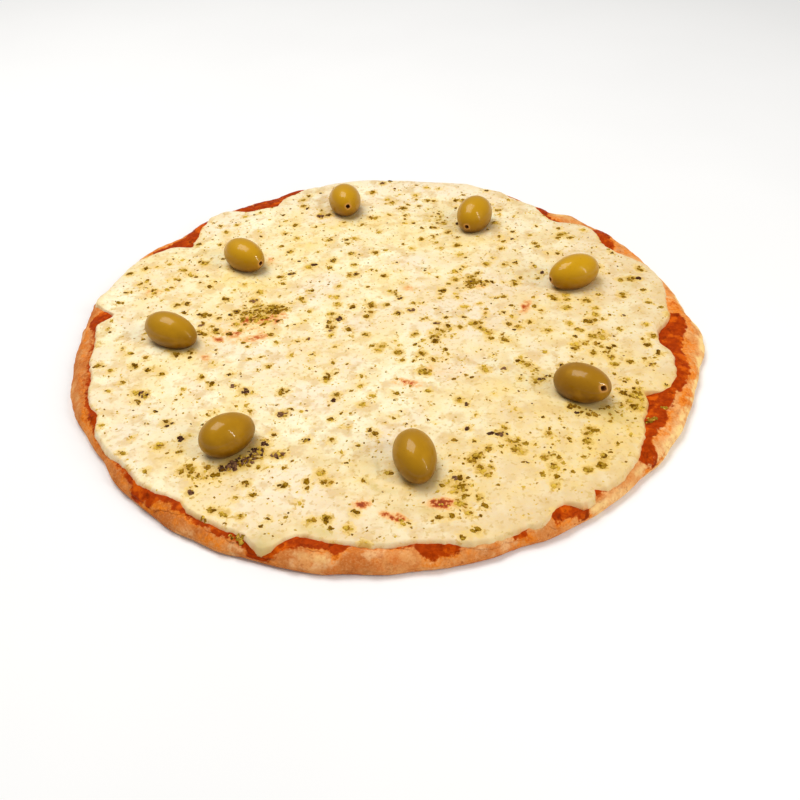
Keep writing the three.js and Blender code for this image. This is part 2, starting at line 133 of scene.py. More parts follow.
# The flakes that catch the eye: (x, y, length, width, turn in degrees, kind).
LARGE_FLAKES = (
    (107, -8, 11.5, 3, -4, BROWN), (-27.5, -1, 6, 5, 0, BROWN), (-23, 5.5, 4.6, 4.2, 30, PURPLE),
    (-6, 17, 6, 3.4, 100, BROWN), (47, -5, 8.5, 2.8, 22, BROWN), (28, -4, 5, 2, 10, PURPLE),
    (-27, 62, 5.5, 4, 70, BROWN), (107, 80, 7, 3, 25, GREEN), (137, 29.5, 7, 4.2, 60, BROWN),
    (-35, 115, 5.5, 4.6, 0, PURPLE), (-117, -50, 6, 4.4, 120, PURPLE),
    (-68, -52, 6.5, 4.4, 100, PURPLE), (-49, -69.5, 6, 4.5, 20, PURPLE),
    (51, -91, 7, 3, 0, PURPLE),
)

# Where flakes fell thickly: (x, y, spread, count).
FLAKE_CLUSTERS = (
    (-68, 14, 13, 26), (-82, 4, 16, 16), (50, 38, 9, 12), (37, 108, 8, 14), (-130, 42, 12, 16),
    (-112, 62, 16, 14), (107, -26, 13, 26), (112, -72, 13, 24), (72, -46, 10, 16),
    (-58, -98, 11, 22), (-82, -111, 12, 14), (38, -107, 9, 14), (72, -106, 14, 18),
    (28, -131, 13, 14), (-52, 10, 14, 12), (58, -6, 14, 14), (20, -30, 18, 16),
)

# ---- Chance and noise ----


def chance(number, purpose):
    """A number from 0 to 1 that is always the same for the same number and purpose."""
    number = np.asarray(number, np.int64).astype(np.uint32)
    purpose = np.asarray(purpose, np.int64).astype(np.uint32)
    with np.errstate(over="ignore"):
        bits = number * np.uint32(374761393) + purpose * np.uint32(668265263)
        bits = (bits ^ (bits >> np.uint32(13))) * np.uint32(1274126177)
    return (bits ^ (bits >> np.uint32(16))) / 2.0**32


def draw(number, purpose):
    return float(chance(number, purpose))


def lattice_value(ix, iy, iz, seed):
    with np.errstate(over="ignore"):
        mixed = ix.astype(np.uint32) * np.uint32(73856093)
        mixed = mixed ^ (iy.astype(np.uint32) * np.uint32(19349663))
        mixed = mixed ^ (iz.astype(np.uint32) * np.uint32(83492791))
    return 2 * chance(mixed, seed) - 1


def noise(x, y, z, size, seed):
    """Smooth noise from about -1 to 1, whose lumps are `size` mm apart."""
    x, y, z = np.broadcast_arrays(x / size, y / size, np.asarray(z, float) / size)
    cells = [np.floor(v).astype(np.int64) for v in (x, y, z)]
    parts = [v - c for v, c in zip((x, y, z), cells)]
    ease = [p * p * p * (p * (6 * p - 15) + 10) for p in parts]
    total = 0
    for dx in (0, 1):
        for dy in (0, 1):
            for dz in (0, 1):
                weight = 1
                for e, d in zip(ease, (dx, dy, dz)):
                    weight = weight * (e if d else 1 - e)
                total = total + weight * lattice_value(
                    cells[0] + dx, cells[1] + dy, cells[2] + dz, seed
                )
    return total


def rough_noise(x, y, z, size, seed, layers=3):
    """Noise with finer and fainter noise added, each layer half the size of the one before."""
    total, weight = 0, 0
    for k in range(layers):
        total = total + noise(x, y, z, size / 2**k, seed + k) / 2**k
        weight += 1 / 2**k
    return total / weight


# ---- Small helpers ----


def step(value, low, high):
    """0 below low, 1 above high, smooth between."""
    t = np.clip((value - low) / (high - low), 0, 1)
    return t * t * (3 - 2 * t)


def cos_sin(degrees):
    return math.cos(math.radians(degrees)), math.sin(math.radians(degrees))


def turn_from(angle, at):
    """How far round an angle is from another one, between -180 and 180 degrees."""
    return (angle - at + 540) % 360 - 180


def swell(angle, at, reach):
    return np.exp(-((np.abs(turn_from(angle, at)) / reach) ** 4))


def swell_sum(angle, swells):
    return sum(change * swell(angle, at, reach) for at, reach, change in swells)


def wave_sum(angle, waves):
    return sum(h * np.sin(np.radians(n * angle + phase)) for n, phase, h in waves)


def polar(x, y):
    return np.degrees(np.arctan2(y, x)) % 360, np.hypot(x, y)


def flat_place(angle, radius):
    return radius * np.cos(np.radians(angle)), radius * np.sin(np.radians(angle))


def spot(x, y, at_x, at_y, long_reach, wide_reach, turn):
    """1 in the middle of an oval spot, falling to 0 outside it."""
    c, s = cos_sin(turn)
    along = ((x - at_x) * c + (y - at_y) * s) / long_reach
    across = ((y - at_y) * c - (x - at_x) * s) / wide_reach
    return np.exp(-(along**2 + across**2))


def spot_sum(x, y, spots):
    return sum(strength * spot(x, y, *oval) for *oval, strength in spots)


# ---- The surfaces ----


def crust_radius(angle):
    return CRUST_RADIUS + swell_sum(angle, CRUST_SWELLS) + wave_sum(angle, CRUST_WAVES)


def within_crust(angle, radius):
    return np.minimum(radius, crust_radius(angle) - EDGE_MARGIN)


def cheese_radius(angle):
    swells = swell_sum(angle, CHEESE_SWELLS)
    return within_crust(angle, CHEESE_RADIUS + swells + wave_sum(angle, CHEESE_WAVES))


def sauce_radius(angle):
    spills = swell_sum(angle, SAUCE_SPILLS)
    return within_crust(angle, cheese_radius(angle) + SAUCE_SHOWS + spills)


def crust_top(angle, inset):
    lumps = wave_sum(angle, RIM_LUMPS) * np.maximum(0, 1 - inset / FLOOR_INSET)
    drop = (np.maximum(0, CREST_INSET - inset) / CREST_INSET) ** SHOULDER_POWER
    shoulder = CREST_HEIGHT - (CREST_HEIGHT - WIDEST_HEIGHT) * drop
    bed = CREST_HEIGHT - (CREST_HEIGHT - FLOOR_HEIGHT) * step(inset, CREST_INSET, FLOOR_INSET)
    return np.where(inset < CREST_INSET, shoulder, bed) + lumps


def crust_top_at(angle, radius):
    return crust_top(angle, crust_radius(angle) - radius)


def sauce_top(angle, radius):
    inside = sauce_radius(angle) - radius
    full = np.clip(inside / SAUCE_ROUNDING, 0, 1)
    thickness = SAUCE_EDGE + (SAUCE_THICKNESS - SAUCE_EDGE) * full
    return crust_top_at(angle, radius) + GAP + thickness


def distance_to_olive(x, y, olive):
    at_x, at_y, heading, _, length, across, _ = olive
    half = (length - across) / 2
    dx, dy = cos_sin(heading)
    along = np.clip((x - at_x) * dx + (y - at_y) * dy, -half, half)
    return np.hypot(x - at_x - along * dx, y - at_y - along * dy)


def cheese_level(x, y):
    height = CHEESE_LEVEL
    for direction, length, phase, rise in CHEESE_TOP_WAVES:
        c, s = cos_sin(direction)
        run = x * c + y * s
        height = height + rise * np.sin(2 * math.pi * run / length + math.radians(phase))
    for olive in OLIVES:
        away = distance_to_olive(x, y, olive) - olive[5] / 2
        height = height + OLIVE_WELL_UP * np.exp(-((away / OLIVE_WELL_REACH) ** 2))
    return height


def cheese_top(angle, radius):
    level = cheese_level(*flat_place(angle, radius))
    outline = cheese_radius(angle)
    inside = np.maximum(0, outline - radius)
    edge = crust_top_at(angle, outline) + 2 * GAP + SAUCE_EDGE + CHEESE_EDGE
    return level - (level - edge) * np.exp(-inside / CHEESE_ROUNDING)


# ---- Fine relief, which only the looks have ----

# Folds of the cheese: (x, y, length, width, turn in degrees, height).
CHEESE_FOLDS = (
    (-9, -117, 7, 1.5, 128, -0.75), (-12.5, -119, 7.5, 1.7, 126, 0.6),
    (-5, -113, 6, 1.6, 112, 0.5), (-5, -106, 5, 1.3, 95, -0.5), (-1.5, -122, 6, 1.3, 165, -0.6),
    (-1, -125, 6, 1.6, 165, 0.45), (-29, -104, 6, 5, 0, -0.35), (-36, -96, 7, 3, 20, 0.35),
    (14, 55, 12, 3.4, 60, 0.35), (85, 10, 16, 3.6, 170, 0.4), (60, -20, 18, 3.5, 20, 0.35),
    (-40, -30, 20, 4, 165, 0.35), (-95, -60, 16, 3.6, 140, 0.35), (40, -70, 15, 3.4, 35, 0.3),
)

# How the melted edge strays from the solids' outline: (angle in degrees, change of radius).
CHEESE_STRAYS = (
    (0, -3), (3, -3), (6, -1.5), (10, 0), (16, 0), (20, -1), (23, -3), (28, -3), (34, -2),
    (38, -2), (41, 0), (44, 0), (46, 1.5), (49, -1.5), (52, -2), (55.5, -3), (57.5, -3), (60, 0),
    (107, 0), (110, -2), (113, -0.5), (115.5, -3.8), (118, -2), (121, -3), (123, -4.5), (125, -3),
    (127, 0), (133, 0), (136, 1.5), (138, 2.5), (140, 1), (142.2, -4.5), (144, -2), (147, -3),
    (150, -2), (153, 0), (164, 0), (167, 2.6), (169.3, 4.6), (170.6, 2), (172, -3.4), (173.4, -3),
    (176, -0.5), (180, -1.5), (186, -1), (192, -1.5), (196, 0), (205, -0.5), (206.8, 1.8),
    (212, 1.7), (216, 3), (219, 1.5), (222, 0.3), (225, 1.6), (229, 1.5), (231, -0.5), (234, -0.8),
    (236, 1.5), (240, 0.5), (245, 0), (256, 0), (260, 1.5), (270, 1.5), (274, 2), (277, 3),
    (280, 2.4), (283, 0.4), (291, -0.8), (293, 1.5), (295, 1), (298, 0.8), (300.5, 2.8),
    (303, 1.3), (304.3, -2.6), (306, 0), (310, 3), (313, 2.5), (316, 0.5), (318, -2), (321, -3),
    (324, -2), (327, 0), (330, -0.8), (332.2, -3.8), (334, 2), (335.5, 4.2), (337.5, 3),
    (340, 0.5), (345, -0.8), (349, -2), (353, -0.5), (356, 0.5), (360, -3),
)
EDGE_THINNER = 0.75  # how much thinner the melted edge is than the solids' edge
EDGE_THINS_OVER = 2.6


def stray(angle, table):
    at, change = np.array(table, float).T
    return np.interp(angle, at, change)


def cheese_relief(x, y):
    relief = 0.42 * rough_noise(x, y, 0, 21, 11) + 0.24 * rough_noise(x, y, 0, 8.5, 17)
    crease = np.abs(noise(x + 6 * noise(x, y, 0, 19, 31), y, 0, 15, 33))
    relief = relief - 0.35 * (1 - step(crease, 0, 0.45)) * step(noise(x, y, 0, 34, 35), 0, 0.5)
    return relief + spot_sum(x, y, CHEESE_FOLDS)


def cheese_surface(angle, radius):
    x, y = flat_place(angle, radius)
    at_edge = np.exp(-np.maximum(0, cheese_outline(angle) - radius) / EDGE_THINS_OVER)
    relief = cheese_relief(x, y) * (1 - 0.6 * at_edge)
    return cheese_top(angle, radius) + relief - EDGE_THINNER * at_edge


# A knob of dough with sauce on it: angle, distance in from the outline, reach, height.
KNOB_ANGLE = 204.8
KNOB_INSET = 6
KNOB_REACH = 3.1
KNOB_HEIGHT = 1.5


def knob(angle, inset):
    away = CRUST_RADIUS * np.radians(turn_from(angle, KNOB_ANGLE))
    return np.exp(-(((away / KNOB_REACH) ** 2 + ((inset - KNOB_INSET) / KNOB_REACH) ** 2) ** 1.5))


def fine_outline(angle, size, seed, layers=3):
    """Unevenness of an outline, as noise along a circle."""
    x, y = flat_place(angle, CRUST_RADIUS)
    return rough_noise(x, y, 0, size, seed, layers)


# ---- Meshes ----


def ring(count, point_at):
    """Points round the middle: point_at(angles) gives radii and heights."""
    angle = np.arange(count) * 360.0 / count
    radius, height = point_at(angle)
    x, y = flat_place(angle, radius)
    return np.stack([x, y, np.broadcast_to(height, angle.shape)], axis=-1)


def middle(height):
    return np.array([[0.0, 0.0, height]])


def skin_faces(counts):
    """Faces that join rings of these counts, each the same, half or twice the one before."""
    faces = []
    start = 0
    for here, there in zip(counts, counts[1:]):
        above = start + here
        if here == there:
            k = np.arange(here)
            n = (k + 1) % here
            faces += np.stack([start + k, start + n, above + n, above + k], axis=-1).tolist()
            start = above
            continue
        steps = max(here, there)
        for s in range(steps):
            b0, b1 = (start + (i * here // steps) % here for i in (s, s + 1))
            a0, a1 = (above + (i * there // steps) % there for i in (s, s + 1))
            if b0 != b1:
                faces.append((b0, b1, a0))
            if a0 != a1:
                faces.append((b1, a1, a0))
        start = above
    return faces


def add_object(name, data):
    thing = bpy.data.objects.new(name, data)
    bpy.context.scene.collection.objects.link(thing)
    return thing


def make_piece(name, points, faces, material, masks, smooth=True):
    """A mesh object from points in millimetres. Each mask is one number at each point."""
    mesh = bpy.data.meshes.new(name)
    moved = np.asarray(points, float) + np.array([*CENTRE_SHIFT, 0])
    mesh.from_pydata((moved * MM).tolist(), [], faces)
    mesh.polygons.foreach_set("use_smooth", [smooth] * len(mesh.polygons))
    for key, values in masks.items():
        layer = mesh.attributes.new(key, "FLOAT", "POINT")
        layer.data.foreach_set("value", np.clip(values, 0, 1).astype(np.float32))
    mesh.validate()
    mesh.update()
    mesh.materials.append(material)
    return add_object(name, mesh)


def skin_piece(name, rings, material, masks, moved=None):
    """A piece from rings of points, which may have moved since they were joined."""
    points = np.concatenate(rings) if moved is None else moved
    return make_piece(name, points, skin_faces([len(r) for r in rings]), material, masks)


# ---- Materials ----


def linear(srgb):
    """A colour of the usual 0 to 255 kind as linear light."""
    parts = [v / 255 for v in srgb]
    return [v / 12.92 if v <= 0.04045 else ((v + 0.055) / 1.055) ** 2.4 for v in parts] + [1.0]


class Look:
    """A node material, whose colour is started and then painted over in colours of 0 to 255."""

    def __init__(self, name, shine, shine_tint):
        self.material = bpy.data.materials.new(name)
        self.material.use_nodes = True
        self.tree = self.material.node_tree
        self.shader = self.tree.nodes["Principled BSDF"]
        self.fix("Specular IOR Level", shine)
        self.fix("Specular Tint", (*shine_tint, 1))
        self.place = self.node("TexCoord").outputs["Object"]
        self.colour = None

    def fix(self, key, value):
        self.shader.inputs[key].default_value = value

    def put(self, node, key, value):
        """Sets an input to a number or a colour, or links it to another node's output."""
        if isinstance(value, bpy.types.NodeSocket):
            self.tree.links.new(value, node.inputs[key])
        elif value is not None:
            number = linear(value) if isinstance(value, tuple) else value
            node.inputs[key].default_value = number

    def node(self, kind, **values):
        node = self.tree.nodes.new("ShaderNode" + kind)
        for key, value in values.items():
            self.put(node, key.replace("_", " "), value)
        return node

    def mask(self, name):
        node = self.node("Attribute")
        node.attribute_name = name
        return node.outputs["Fac"]

    def noise(self, size, detail=3, roughness=0.6):
        """Noise whose lumps are about `size` millimetres across."""
        grain = {"Scale": 1 / (size * MM), "Detail": detail, "Roughness": roughness}
        return self.node("TexNoise", Vector=self.place, **grain).outputs["Fac"]

    def between(self, value, low, high, to_low=0, to_high=1):
        """As step, but running from to_low to to_high."""
        ends = {"From_Min": low, "From_Max": high, "To_Min": to_low, "To_Max": to_high}
        node = self.node("MapRange", Value=value, **ends)
        node.interpolation_type = "SMOOTHSTEP"
        return node.outputs["Result"]

    def math(self, kind, a, b):
        """The sum or the product of two values, of which the first may be a mask's name."""
        node = self.node("Math")
        node.operation = kind
        self.put(node, 0, self.mask(a) if isinstance(a, str) else a)
        self.put(node, 1, b)
        return node.outputs[0]

    def plus(self, a, b):
        return self.math("ADD", a, b)

    def times(self, a, b):
        return self.math("MULTIPLY", a, b)

    def mix(self, share, a, b):
        node = self.node("Mix", Factor=share)
        node.data_type = "RGBA"
        self.put(node, 6, a)
        self.put(node, 7, b)
        return node.outputs[2]

    def start(self, share, a, b):
        self.colour = self.mix(share, a, b)

    def paint(self, share, colour):
        self.colour = self.mix(share, self.colour, colour)

    def bump(self, height, distance, strength, below=None):
        """Relief of `distance` millimetres, on top of the relief below."""
        depth = {"Distance": distance * MM, "Strength": strength}
        return self.node("Bump", Height=height, Normal=below, **depth).outputs["Normal"]

    def finish(self, roughness, relief=None):
        self.put(self.shader, "Base Color", self.colour)
        self.put(self.shader, "Roughness", roughness)
        self.put(self.shader, "Normal", relief)
        return self.material


# ---- Crust ----

CRUST_SECTORS = 1440

# How far out the sauce is deep red: (angle in degrees, radius). Cheese hides the rest.
RED_EDGE = (
    (0, 147), (25, 148), (26.4, 151.8), (28, 153.4), (30, 156.4), (32, 159.4), (33.8, 161.4),
    (34.6, 150), (46, 148), (47, 157), (49, 160), (50, 150), (60, 148), (104, 150), (105.5, 164),
    (108, 163), (119, 161.5), (120, 156), (121, 163), (124, 163), (125, 150), (130, 150),
    (131, 165), (134, 162), (136, 158.5), (139, 154.5), (144, 155), (147, 156.5), (150, 156),
    (151, 150), (158, 150), (159, 161), (161, 161), (162, 150), (169, 150), (170.5, 152),
    (172, 154), (173.5, 157), (176, 157.5), (177, 154.4), (180, 152), (186, 151.8), (190, 152.4),
    (192, 152.6), (195, 152.8), (199, 153.6), (203, 154.2), (206, 154.8), (207.5, 155.6),
    (212, 156), (215, 155.2), (218, 155.8), (220, 154.8), (222, 156), (224, 156.4), (225, 160.6),
    (229.5, 160), (230.5, 155.4), (232, 155), (234, 156), (236, 155), (240, 156.6), (245, 158),
    (247, 158.8), (248.4, 161.4), (250, 162.8), (251.6, 162), (252.6, 158.6), (253.6, 156),
    (255, 154.4), (257, 153.6), (260, 154.2), (261, 157), (262.3, 156), (263, 152.4), (268, 152.2),
    (273, 152.6), (274, 157.2), (276, 158.4), (279, 157.6), (280.5, 156), (284, 150), (287.6, 150),
    (288.4, 157.6), (290.4, 157.4), (291.2, 150), (294.6, 150), (295.2, 157.4), (299, 158),
    (300.3, 161.4), (301.2, 160), (302, 150), (303.8, 156), (306, 156.4), (306.8, 150),
    (314.4, 150), (315.6, 157.6), (317, 159), (318.6, 158.4), (320, 153.6), (324, 152.4),
    (330, 152.2), (333, 151.6), (335, 152.2), (337, 154.2), (341, 156), (345, 154.4), (348, 152.4),
    (350, 151.8), (352, 153.6), (354, 156.4), (357, 157.5), (359, 155), (360, 147),
)

# Orange stains on the rim: (angle in degrees, radius, reach in degrees, depth, strength).
ORANGE_SPOTS = (
    (2, 154.5, 5.5, 4.5, 1), (22, 158, 4, 3.5, 0.8), (24.5, 154, 2.5, 3, 0.9),
    (42, 153, 5, 5, 0.4), (52, 157, 4, 3, 0.5), (146, 155.5, 5, 3.5, 0.95), (149, 158, 4, 3, 0.8),
    (160, 160, 1.6, 2.5, 1), (179, 157, 4.5, 3, 0.75), (186, 154.5, 6, 2.4, 0.6),
    (195, 155.5, 5, 2.4, 0.55), (204, 156, 3.4, 3.2, 0.9), (222, 157, 3, 3, 0.6),
    (232, 159, 5, 3.5, 0.85), (243, 160, 4, 3, 0.8), (251, 162.8, 3, 1.8, 1),
    (264, 154.5, 2.4, 3.4, 0.5), (268, 158.5, 2.4, 3, 0.4), (276, 160, 3, 2.6, 0.7),
    (281, 160.8, 1.2, 3.4, 1), (285, 158, 1, 2, 0.5), (289.5, 159, 2.4, 3, 1),
    (297, 159.5, 3, 2.4, 0.8), (300.8, 160.5, 1, 4, 1), (310, 157.5, 3, 2, 0.5),
    (316.5, 160, 4, 2.6, 0.9), (326, 155, 7, 3, 0.75), (335, 156.5, 4.5, 3.6, 1),
    (343, 157.5, 4.5, 3, 0.95), (349, 156, 3, 4.5, 0.9), (356, 158.6, 4, 2.4, 0.8),
)

# Pale places on the rim, in the same way: some are flour, and some are painted highlights.
PALE_AND_HIGHLIGHT_SPOTS = (
    (36, 159.5, 2, 2.4, 1), (43, 155, 4.5, 4, 0.85), (258, 157.6, 3.2, 2.4, 0.95),
    (285, 156.5, 1.6, 1.2, 0.7), (293.8, 156.5, 2, 1.4, 1), (303, 159, 3, 1.8, 0.85),
    (308, 159, 4, 2, 0.6), (312, 157.5, 3, 1.6, 0.6), (349.5, 163.5, 2.6, 2.4, 1),
    (268, 161.5, 3, 1.6, 0.4), (246, 162.5, 2, 1.2, 0.5), (228, 162, 4, 1.2, 0.45),
    (199, 157.6, 4, 2, 0.55), (184, 156, 6, 2, 0.35), (191, 157.4, 3, 1.6, 0.3),
    (205, 157, 1.4, 1.8, 0.6), (209, 158.5, 3, 1.4, 0.4), (217, 159.5, 3, 1.4, 0.3),
)
KNOB_STAIN = 0.5
LOWEST_OF_SIDE = 0.05  # the skin's relief never pushes the side down to the floor
DRAWN_IN = 0.45  # the rim is this much smaller, so that its lumps stay within the solid's

# Where the sauce is only a faint line: (angle in degrees, reach in degrees, strength).
FAINT_SAUCE = ((185, 8, 0.5), (197, 4, 0.35), (213.5, 7, 0.5), (268, 4.5, 0.4))


def rim_spots(angle, radius, spots):
    strongest = 0
    for at, from_middle, reach, depth, strength in spots:
        away = turn_from(angle, at) / reach
        here = strength * np.exp(-(away**2) - ((radius - from_middle) / depth) ** 2)
        strongest = np.maximum(strongest, here)
    return strongest


def rim_masks(points, inset):
    """What colours the rim: deep sauce, stain, flour, pale places, tan, underside, painted light
    and shade.
    """
    x, y, z = points.T
    angle, radius = polar(x, y)
    ragged = 1.9 * rough_noise(x, y, z, 5.5, 83) + 0.9 * noise(x, y, z, 1.8, 87)
    beyond = radius + ragged - stray(angle, RED_EDGE)
    broken = step(rough_noise(x, y, z, 4.5, 81), -0.4, 0.25)
    faint = sum(strength * swell(angle, at, reach) for at, reach, strength in FAINT_SAUCE)
    # Painted light: the rim's right side, which is painted pale.
    lit_side = swell(angle, 350, 44)
    soaked = 0.35 + 0.65 * step(rough_noise(x, y, z, 8, 51), -0.35, 0.3)
    stain = np.exp(-np.maximum(0, beyond) / (2.1 + 1.3 * lit_side)) * soaked * (1 - 0.8 * faint)
    stain = np.maximum(stain, rim_spots(angle, radius, ORANGE_SPOTS) * (0.35 + 0.65 * broken))
    stain = np.maximum(stain, KNOB_STAIN * knob(angle, inset) * (z > WIDEST_HEIGHT) * broken)

    # Painted light and shade: the right side is pale, most at its lip; the front and left darker.
    pale = lit_side * (0.3 + 0.7 * step(-inset, -4.5, -1.5))
    pale = pale * step(rough_noise(x, y, z, 12, 91), -1.1, -0.2)
    # Painted highlights and flour: the pale spots.
    pale = np.maximum(pale, rim_spots(angle, radius, PALE_AND_HIGHLIGHT_SPOTS) * (0.5 + 0.5 * broken))
    flour = step(rough_noise(x, y, z, 5, 95), 0.05, 0.45)
    tan = 0.35 + 0.65 * step(rough_noise(x, y, z, 10, 97), -0.3, 0.4)
    on_top = step(z, 1.5, WIDEST_HEIGHT)
    return {
        "deep": on_top * (1 - step(beyond, -1.6, 1.7)) * (1 - faint),
        "stain": on_top * stain,
        "pale": pale,
        # Painted shade: fewer floury places on the left side.
        "flour": flour * (1 - 0.6 * swell(angle, 196, 24)),
        # Painted shade: more tan on the left and the front, and little on the lit right side.
        "tan": tan * (0.62 + 0.38 * swell(angle, 215, 52)) * (1 - 0.85 * lit_side),
        # Painted shade: the underside and the foot of the side are darker, less so on the right
        # side.
        "under": step(-z, -1.2, 0) * (1 - lit_side * 0.5),
    }


UNDERSIDE_RINGS = ((0.2, 90), (0.4, 180), (0.6, 360), (0.75, 360), (0.87, 720), (0.94, 720))
LIP_INSET = 4  # the underside's last ring lies this far in from the outline
SIDE_RINGS = 6
RIM_INSETS = (0, 0.12, 0.4, 0.8, *np.arange(1.3, 21, 0.75))
BED_RINGS = ((23, 720), (27, 360), (40, 180), (80, 90))  # (inset, count)


def crust_rings():
    """The crust's rings, and for each point its distance in from the outline along the top."""
    rings, insets = [middle(0.0)], [CRUST_RADIUS]

    def add(count, inset, height_at):
        rings.append(ring(count, lambda a: (crust_radius(a) - inset, height_at(a))))
        insets.extend([inset] * count)

    for share, count in UNDERSIDE_RINGS:
        rings.append(ring(count, lambda a: (share * crust_radius(a), 0.0)))
        insets.extend([CRUST_RADIUS * (1 - share)] * count)
    add(CRUST_SECTORS, LIP_INSET, lambda a: 0.0)
    for k in range(SIDE_RINGS):
        c, s = cos_sin(90 * k / SIDE_RINGS)
        add(CRUST_SECTORS, UNDERSIDE_INSET * (1 - s), lambda a: WIDEST_HEIGHT * (1 - c))
    for inset in RIM_INSETS:
        add(CRUST_SECTORS, inset, lambda a: crust_top(a, inset))
    for inset, count in BED_RINGS:
        add(count, inset, lambda a: crust_top(a, inset))
    return rings + [middle(FLOOR_HEIGHT)], np.array(insets + [CRUST_RADIUS], float)


def make_crust():
    rings, inset = crust_rings()
    x, y, z = np.concatenate(rings).T
    angle, radius = polar(x, y)

    # Lumps and pores push the rim's skin in and out, and leave the underside flat.
    on_side = step(z, 0.3, 2.5)
    rim = 1 - step(inset, 12, 20)
    lumps = 0.5 * rough_noise(x, y, z, 11, 61) + 0.34 * noise(x, y, z, 4.2, 65)
    lumps = lumps + 0.13 * noise(x, y, z, 2.1, 67)
    push = rim * on_side * lumps
    outward = np.clip(1 - inset / CREST_INSET, 0, 1) * on_side
    growth = 1 + (push - DRAWN_IN) * outward / np.maximum(radius, 1)
    upward = np.where(z > WIDEST_HEIGHT, push * (1 - outward * 0.6), 0)
    knob_here = knob(angle, inset) * (z > WIDEST_HEIGHT)
    ragged = 0.35 * noise(x, y, 0, 3.1, 71) * (1 - step(z, 0, 2)) * (inset < 6)
    height = z + upward + KNOB_HEIGHT * knob_here + ragged
    height = np.where(z > 0, np.maximum(height, LOWEST_OF_SIDE), 0)
    masks = rim_masks(np.stack([x, y, z], axis=-1), inset)
    moved = np.stack([x * growth, y * growth, height], axis=-1)
    return skin_piece("crust_baked", rings, rim_look("baked_dough"), masks, moved)


def rim_look(name):
    """Dough with stains of sauce and, where the deep mask says so, the sauce itself."""
    look = Look(name, 0.06, (1, 0.7, 0.4))
    grain, fine, mottle = look.noise(0.9), look.noise(2.2), look.noise(4.2, 4)
    broad = look.between(look.noise(10, 3, 0.55), 0.35, 0.65)
    look.start(broad, (218, 134, 66), (240, 168, 98))
    # Painted shade over the dough's own tan: darker on the left and the front.
    look.paint(look.times("tan", 0.85), (190, 100, 38))
    flour = look.times("flour", look.between(mottle, 0.35, 0.6))
    look.paint(look.times(flour, 0.8), (250, 204, 144))
    look.paint(look.between(mottle, 0.5, 0.64, 0, 0.55), (206, 106, 38))
    look.paint(look.between(look.noise(3.4, 4, 0.65), 0.55, 0.7, 0, 0.5), (158, 74, 22))
    stain = look.times("stain", look.between(fine, 0.35, 0.6, 0.45, 1))
    look.paint(look.between(stain, 0.08, 0.7, 0, 0.9), (238, 130, 26))
    look.paint(look.between(stain, 0.6, 1, 0, 0.75), (200, 76, 6))
    look.paint(look.between(grain, 0.5, 0.68, 0, 0.2), (160, 76, 24))
    look.paint(look.between(grain, 0.5, 0.34, 0, 0.14), (255, 208, 144))
    # Painted shade: the underside and the foot of the side are a darker brown.
    look.paint(look.times("under", 0.4), (150, 84, 36))
    # Painted light and highlights: the lit right side and the pale spots, some of them flour, are
    # cream.
    pale = look.times("pale", look.between(look.noise(7, 2, 0.5), 0.42, 0.66, 1, 0.4))
    pale = look.times(pale, look.between(stain, 0.05, 0.5, 1, 0.15))
    look.paint(look.between(pale, 0, 1, 0, 0.92), (255, 218, 144))

    sauce = look.mix(look.between(look.noise(2.6), 0.3, 0.7), (152, 46, 0), (184, 64, 2))
    sauce = look.mix(look.between(look.noise(6), 0.52, 0.7), sauce, (214, 92, 8))
    sauce = look.mix(look.between(look.noise(4.5), 0.56, 0.7, 0, 0.8), sauce, (118, 34, 0))
    torn = look.plus(look.times("deep", 1.4), look.between(grain, 0.3, 0.7, -0.16, 0.16))
    torn = look.plus(torn, look.between(fine, 0.3, 0.7, -0.35, 0.35))
    deep = look.between(torn, 0.15, 1.05)
    look.paint(deep, sauce)
    dry = look.between(deep, 0, 1, 1, 0.3)
    relief = look.bump(look.times(mottle, dry), 0.4, 0.7)
    relief = look.bump(look.times(grain, dry), 0.07, 0.5, relief)
    return look.finish(look.between(deep, 0, 1, 0.75, 0.55), relief)


# ---- Sauce ----

SAUCE_SECTORS = 1440
SAUCE_TAPER = 6.5  # the film reaches its full thickness this far in from its outline
SAUCE_BOTTOM = FLOOR_HEIGHT - 0.4  # the film's underside is sunk into the dough
SUNK_RINGS = ((0.25, 90), (0.5, 180), (0.75, 360), (0.9, 720))  # (share of the radius, count)
SUNK_LIPS = ((0.6, -0.6), (0, -0.25))  # (inset, share of the film's thickness)
FILM_INSETS = (0.2, 0.5, 0.9, 1.4, 2, *np.arange(2.8, 20, 0.85))
FILM_RINGS = ((21, 720), (26, 360), (40, 180), (80, 90))  # (inset, count)


def sauce_outline(angle):
    uneven = 0.9 * fine_outline(angle, 7, 101) + 0.35 * fine_outline(angle, 2, 105, 1)
    return within_crust(angle, sauce_radius(angle) + uneven)


def make_sauce():
    rings = [middle(SAUCE_BOTTOM)]

    def add(count, inset, share=None):
        rings.append(ring(count, lambda a: sauce_film(a, sauce_outline(a) - inset, share)))

    for part, count in SUNK_RINGS:
        rings.append(ring(count, lambda a: (part * sauce_outline(a), SAUCE_BOTTOM)))
    for inset, share in SUNK_LIPS:
        add(SAUCE_SECTORS, inset, share)
    for inset in FILM_INSETS:
        add(SAUCE_SECTORS, inset)
    for inset, count in FILM_RINGS:
        add(count, inset)
    rings.append(middle(FLOOR_HEIGHT + GAP + SAUCE_THICKNESS))
    points = np.concatenate(rings)
    angle, radius = polar(points[:, 0], points[:, 1])
    masks = rim_masks(points, crust_radius(angle) - radius)
    return skin_piece("tomato_sauce", rings, rim_look("tomato_sauce"), masks)


def sauce_film(angle, radius, share=None):
    """Radius and height of the film's top, or of that share of its thickness."""
    if share is None:
        share = 0.12 + 0.88 * step(sauce_outline(angle) - radius, 0, SAUCE_TAPER)
    x, y = flat_place(angle, radius)
    grain = 0.24 * noise(x, y, 0, 3, 111) + 0.12 * noise(x, y, 0, 1.5, 113)
    base = crust_top_at(angle, radius) + KNOB_HEIGHT * knob(angle, crust_radius(angle) - radius)
    return radius, base + share * (GAP + SAUCE_THICKNESS) + grain * share


# ---- Cheese ----

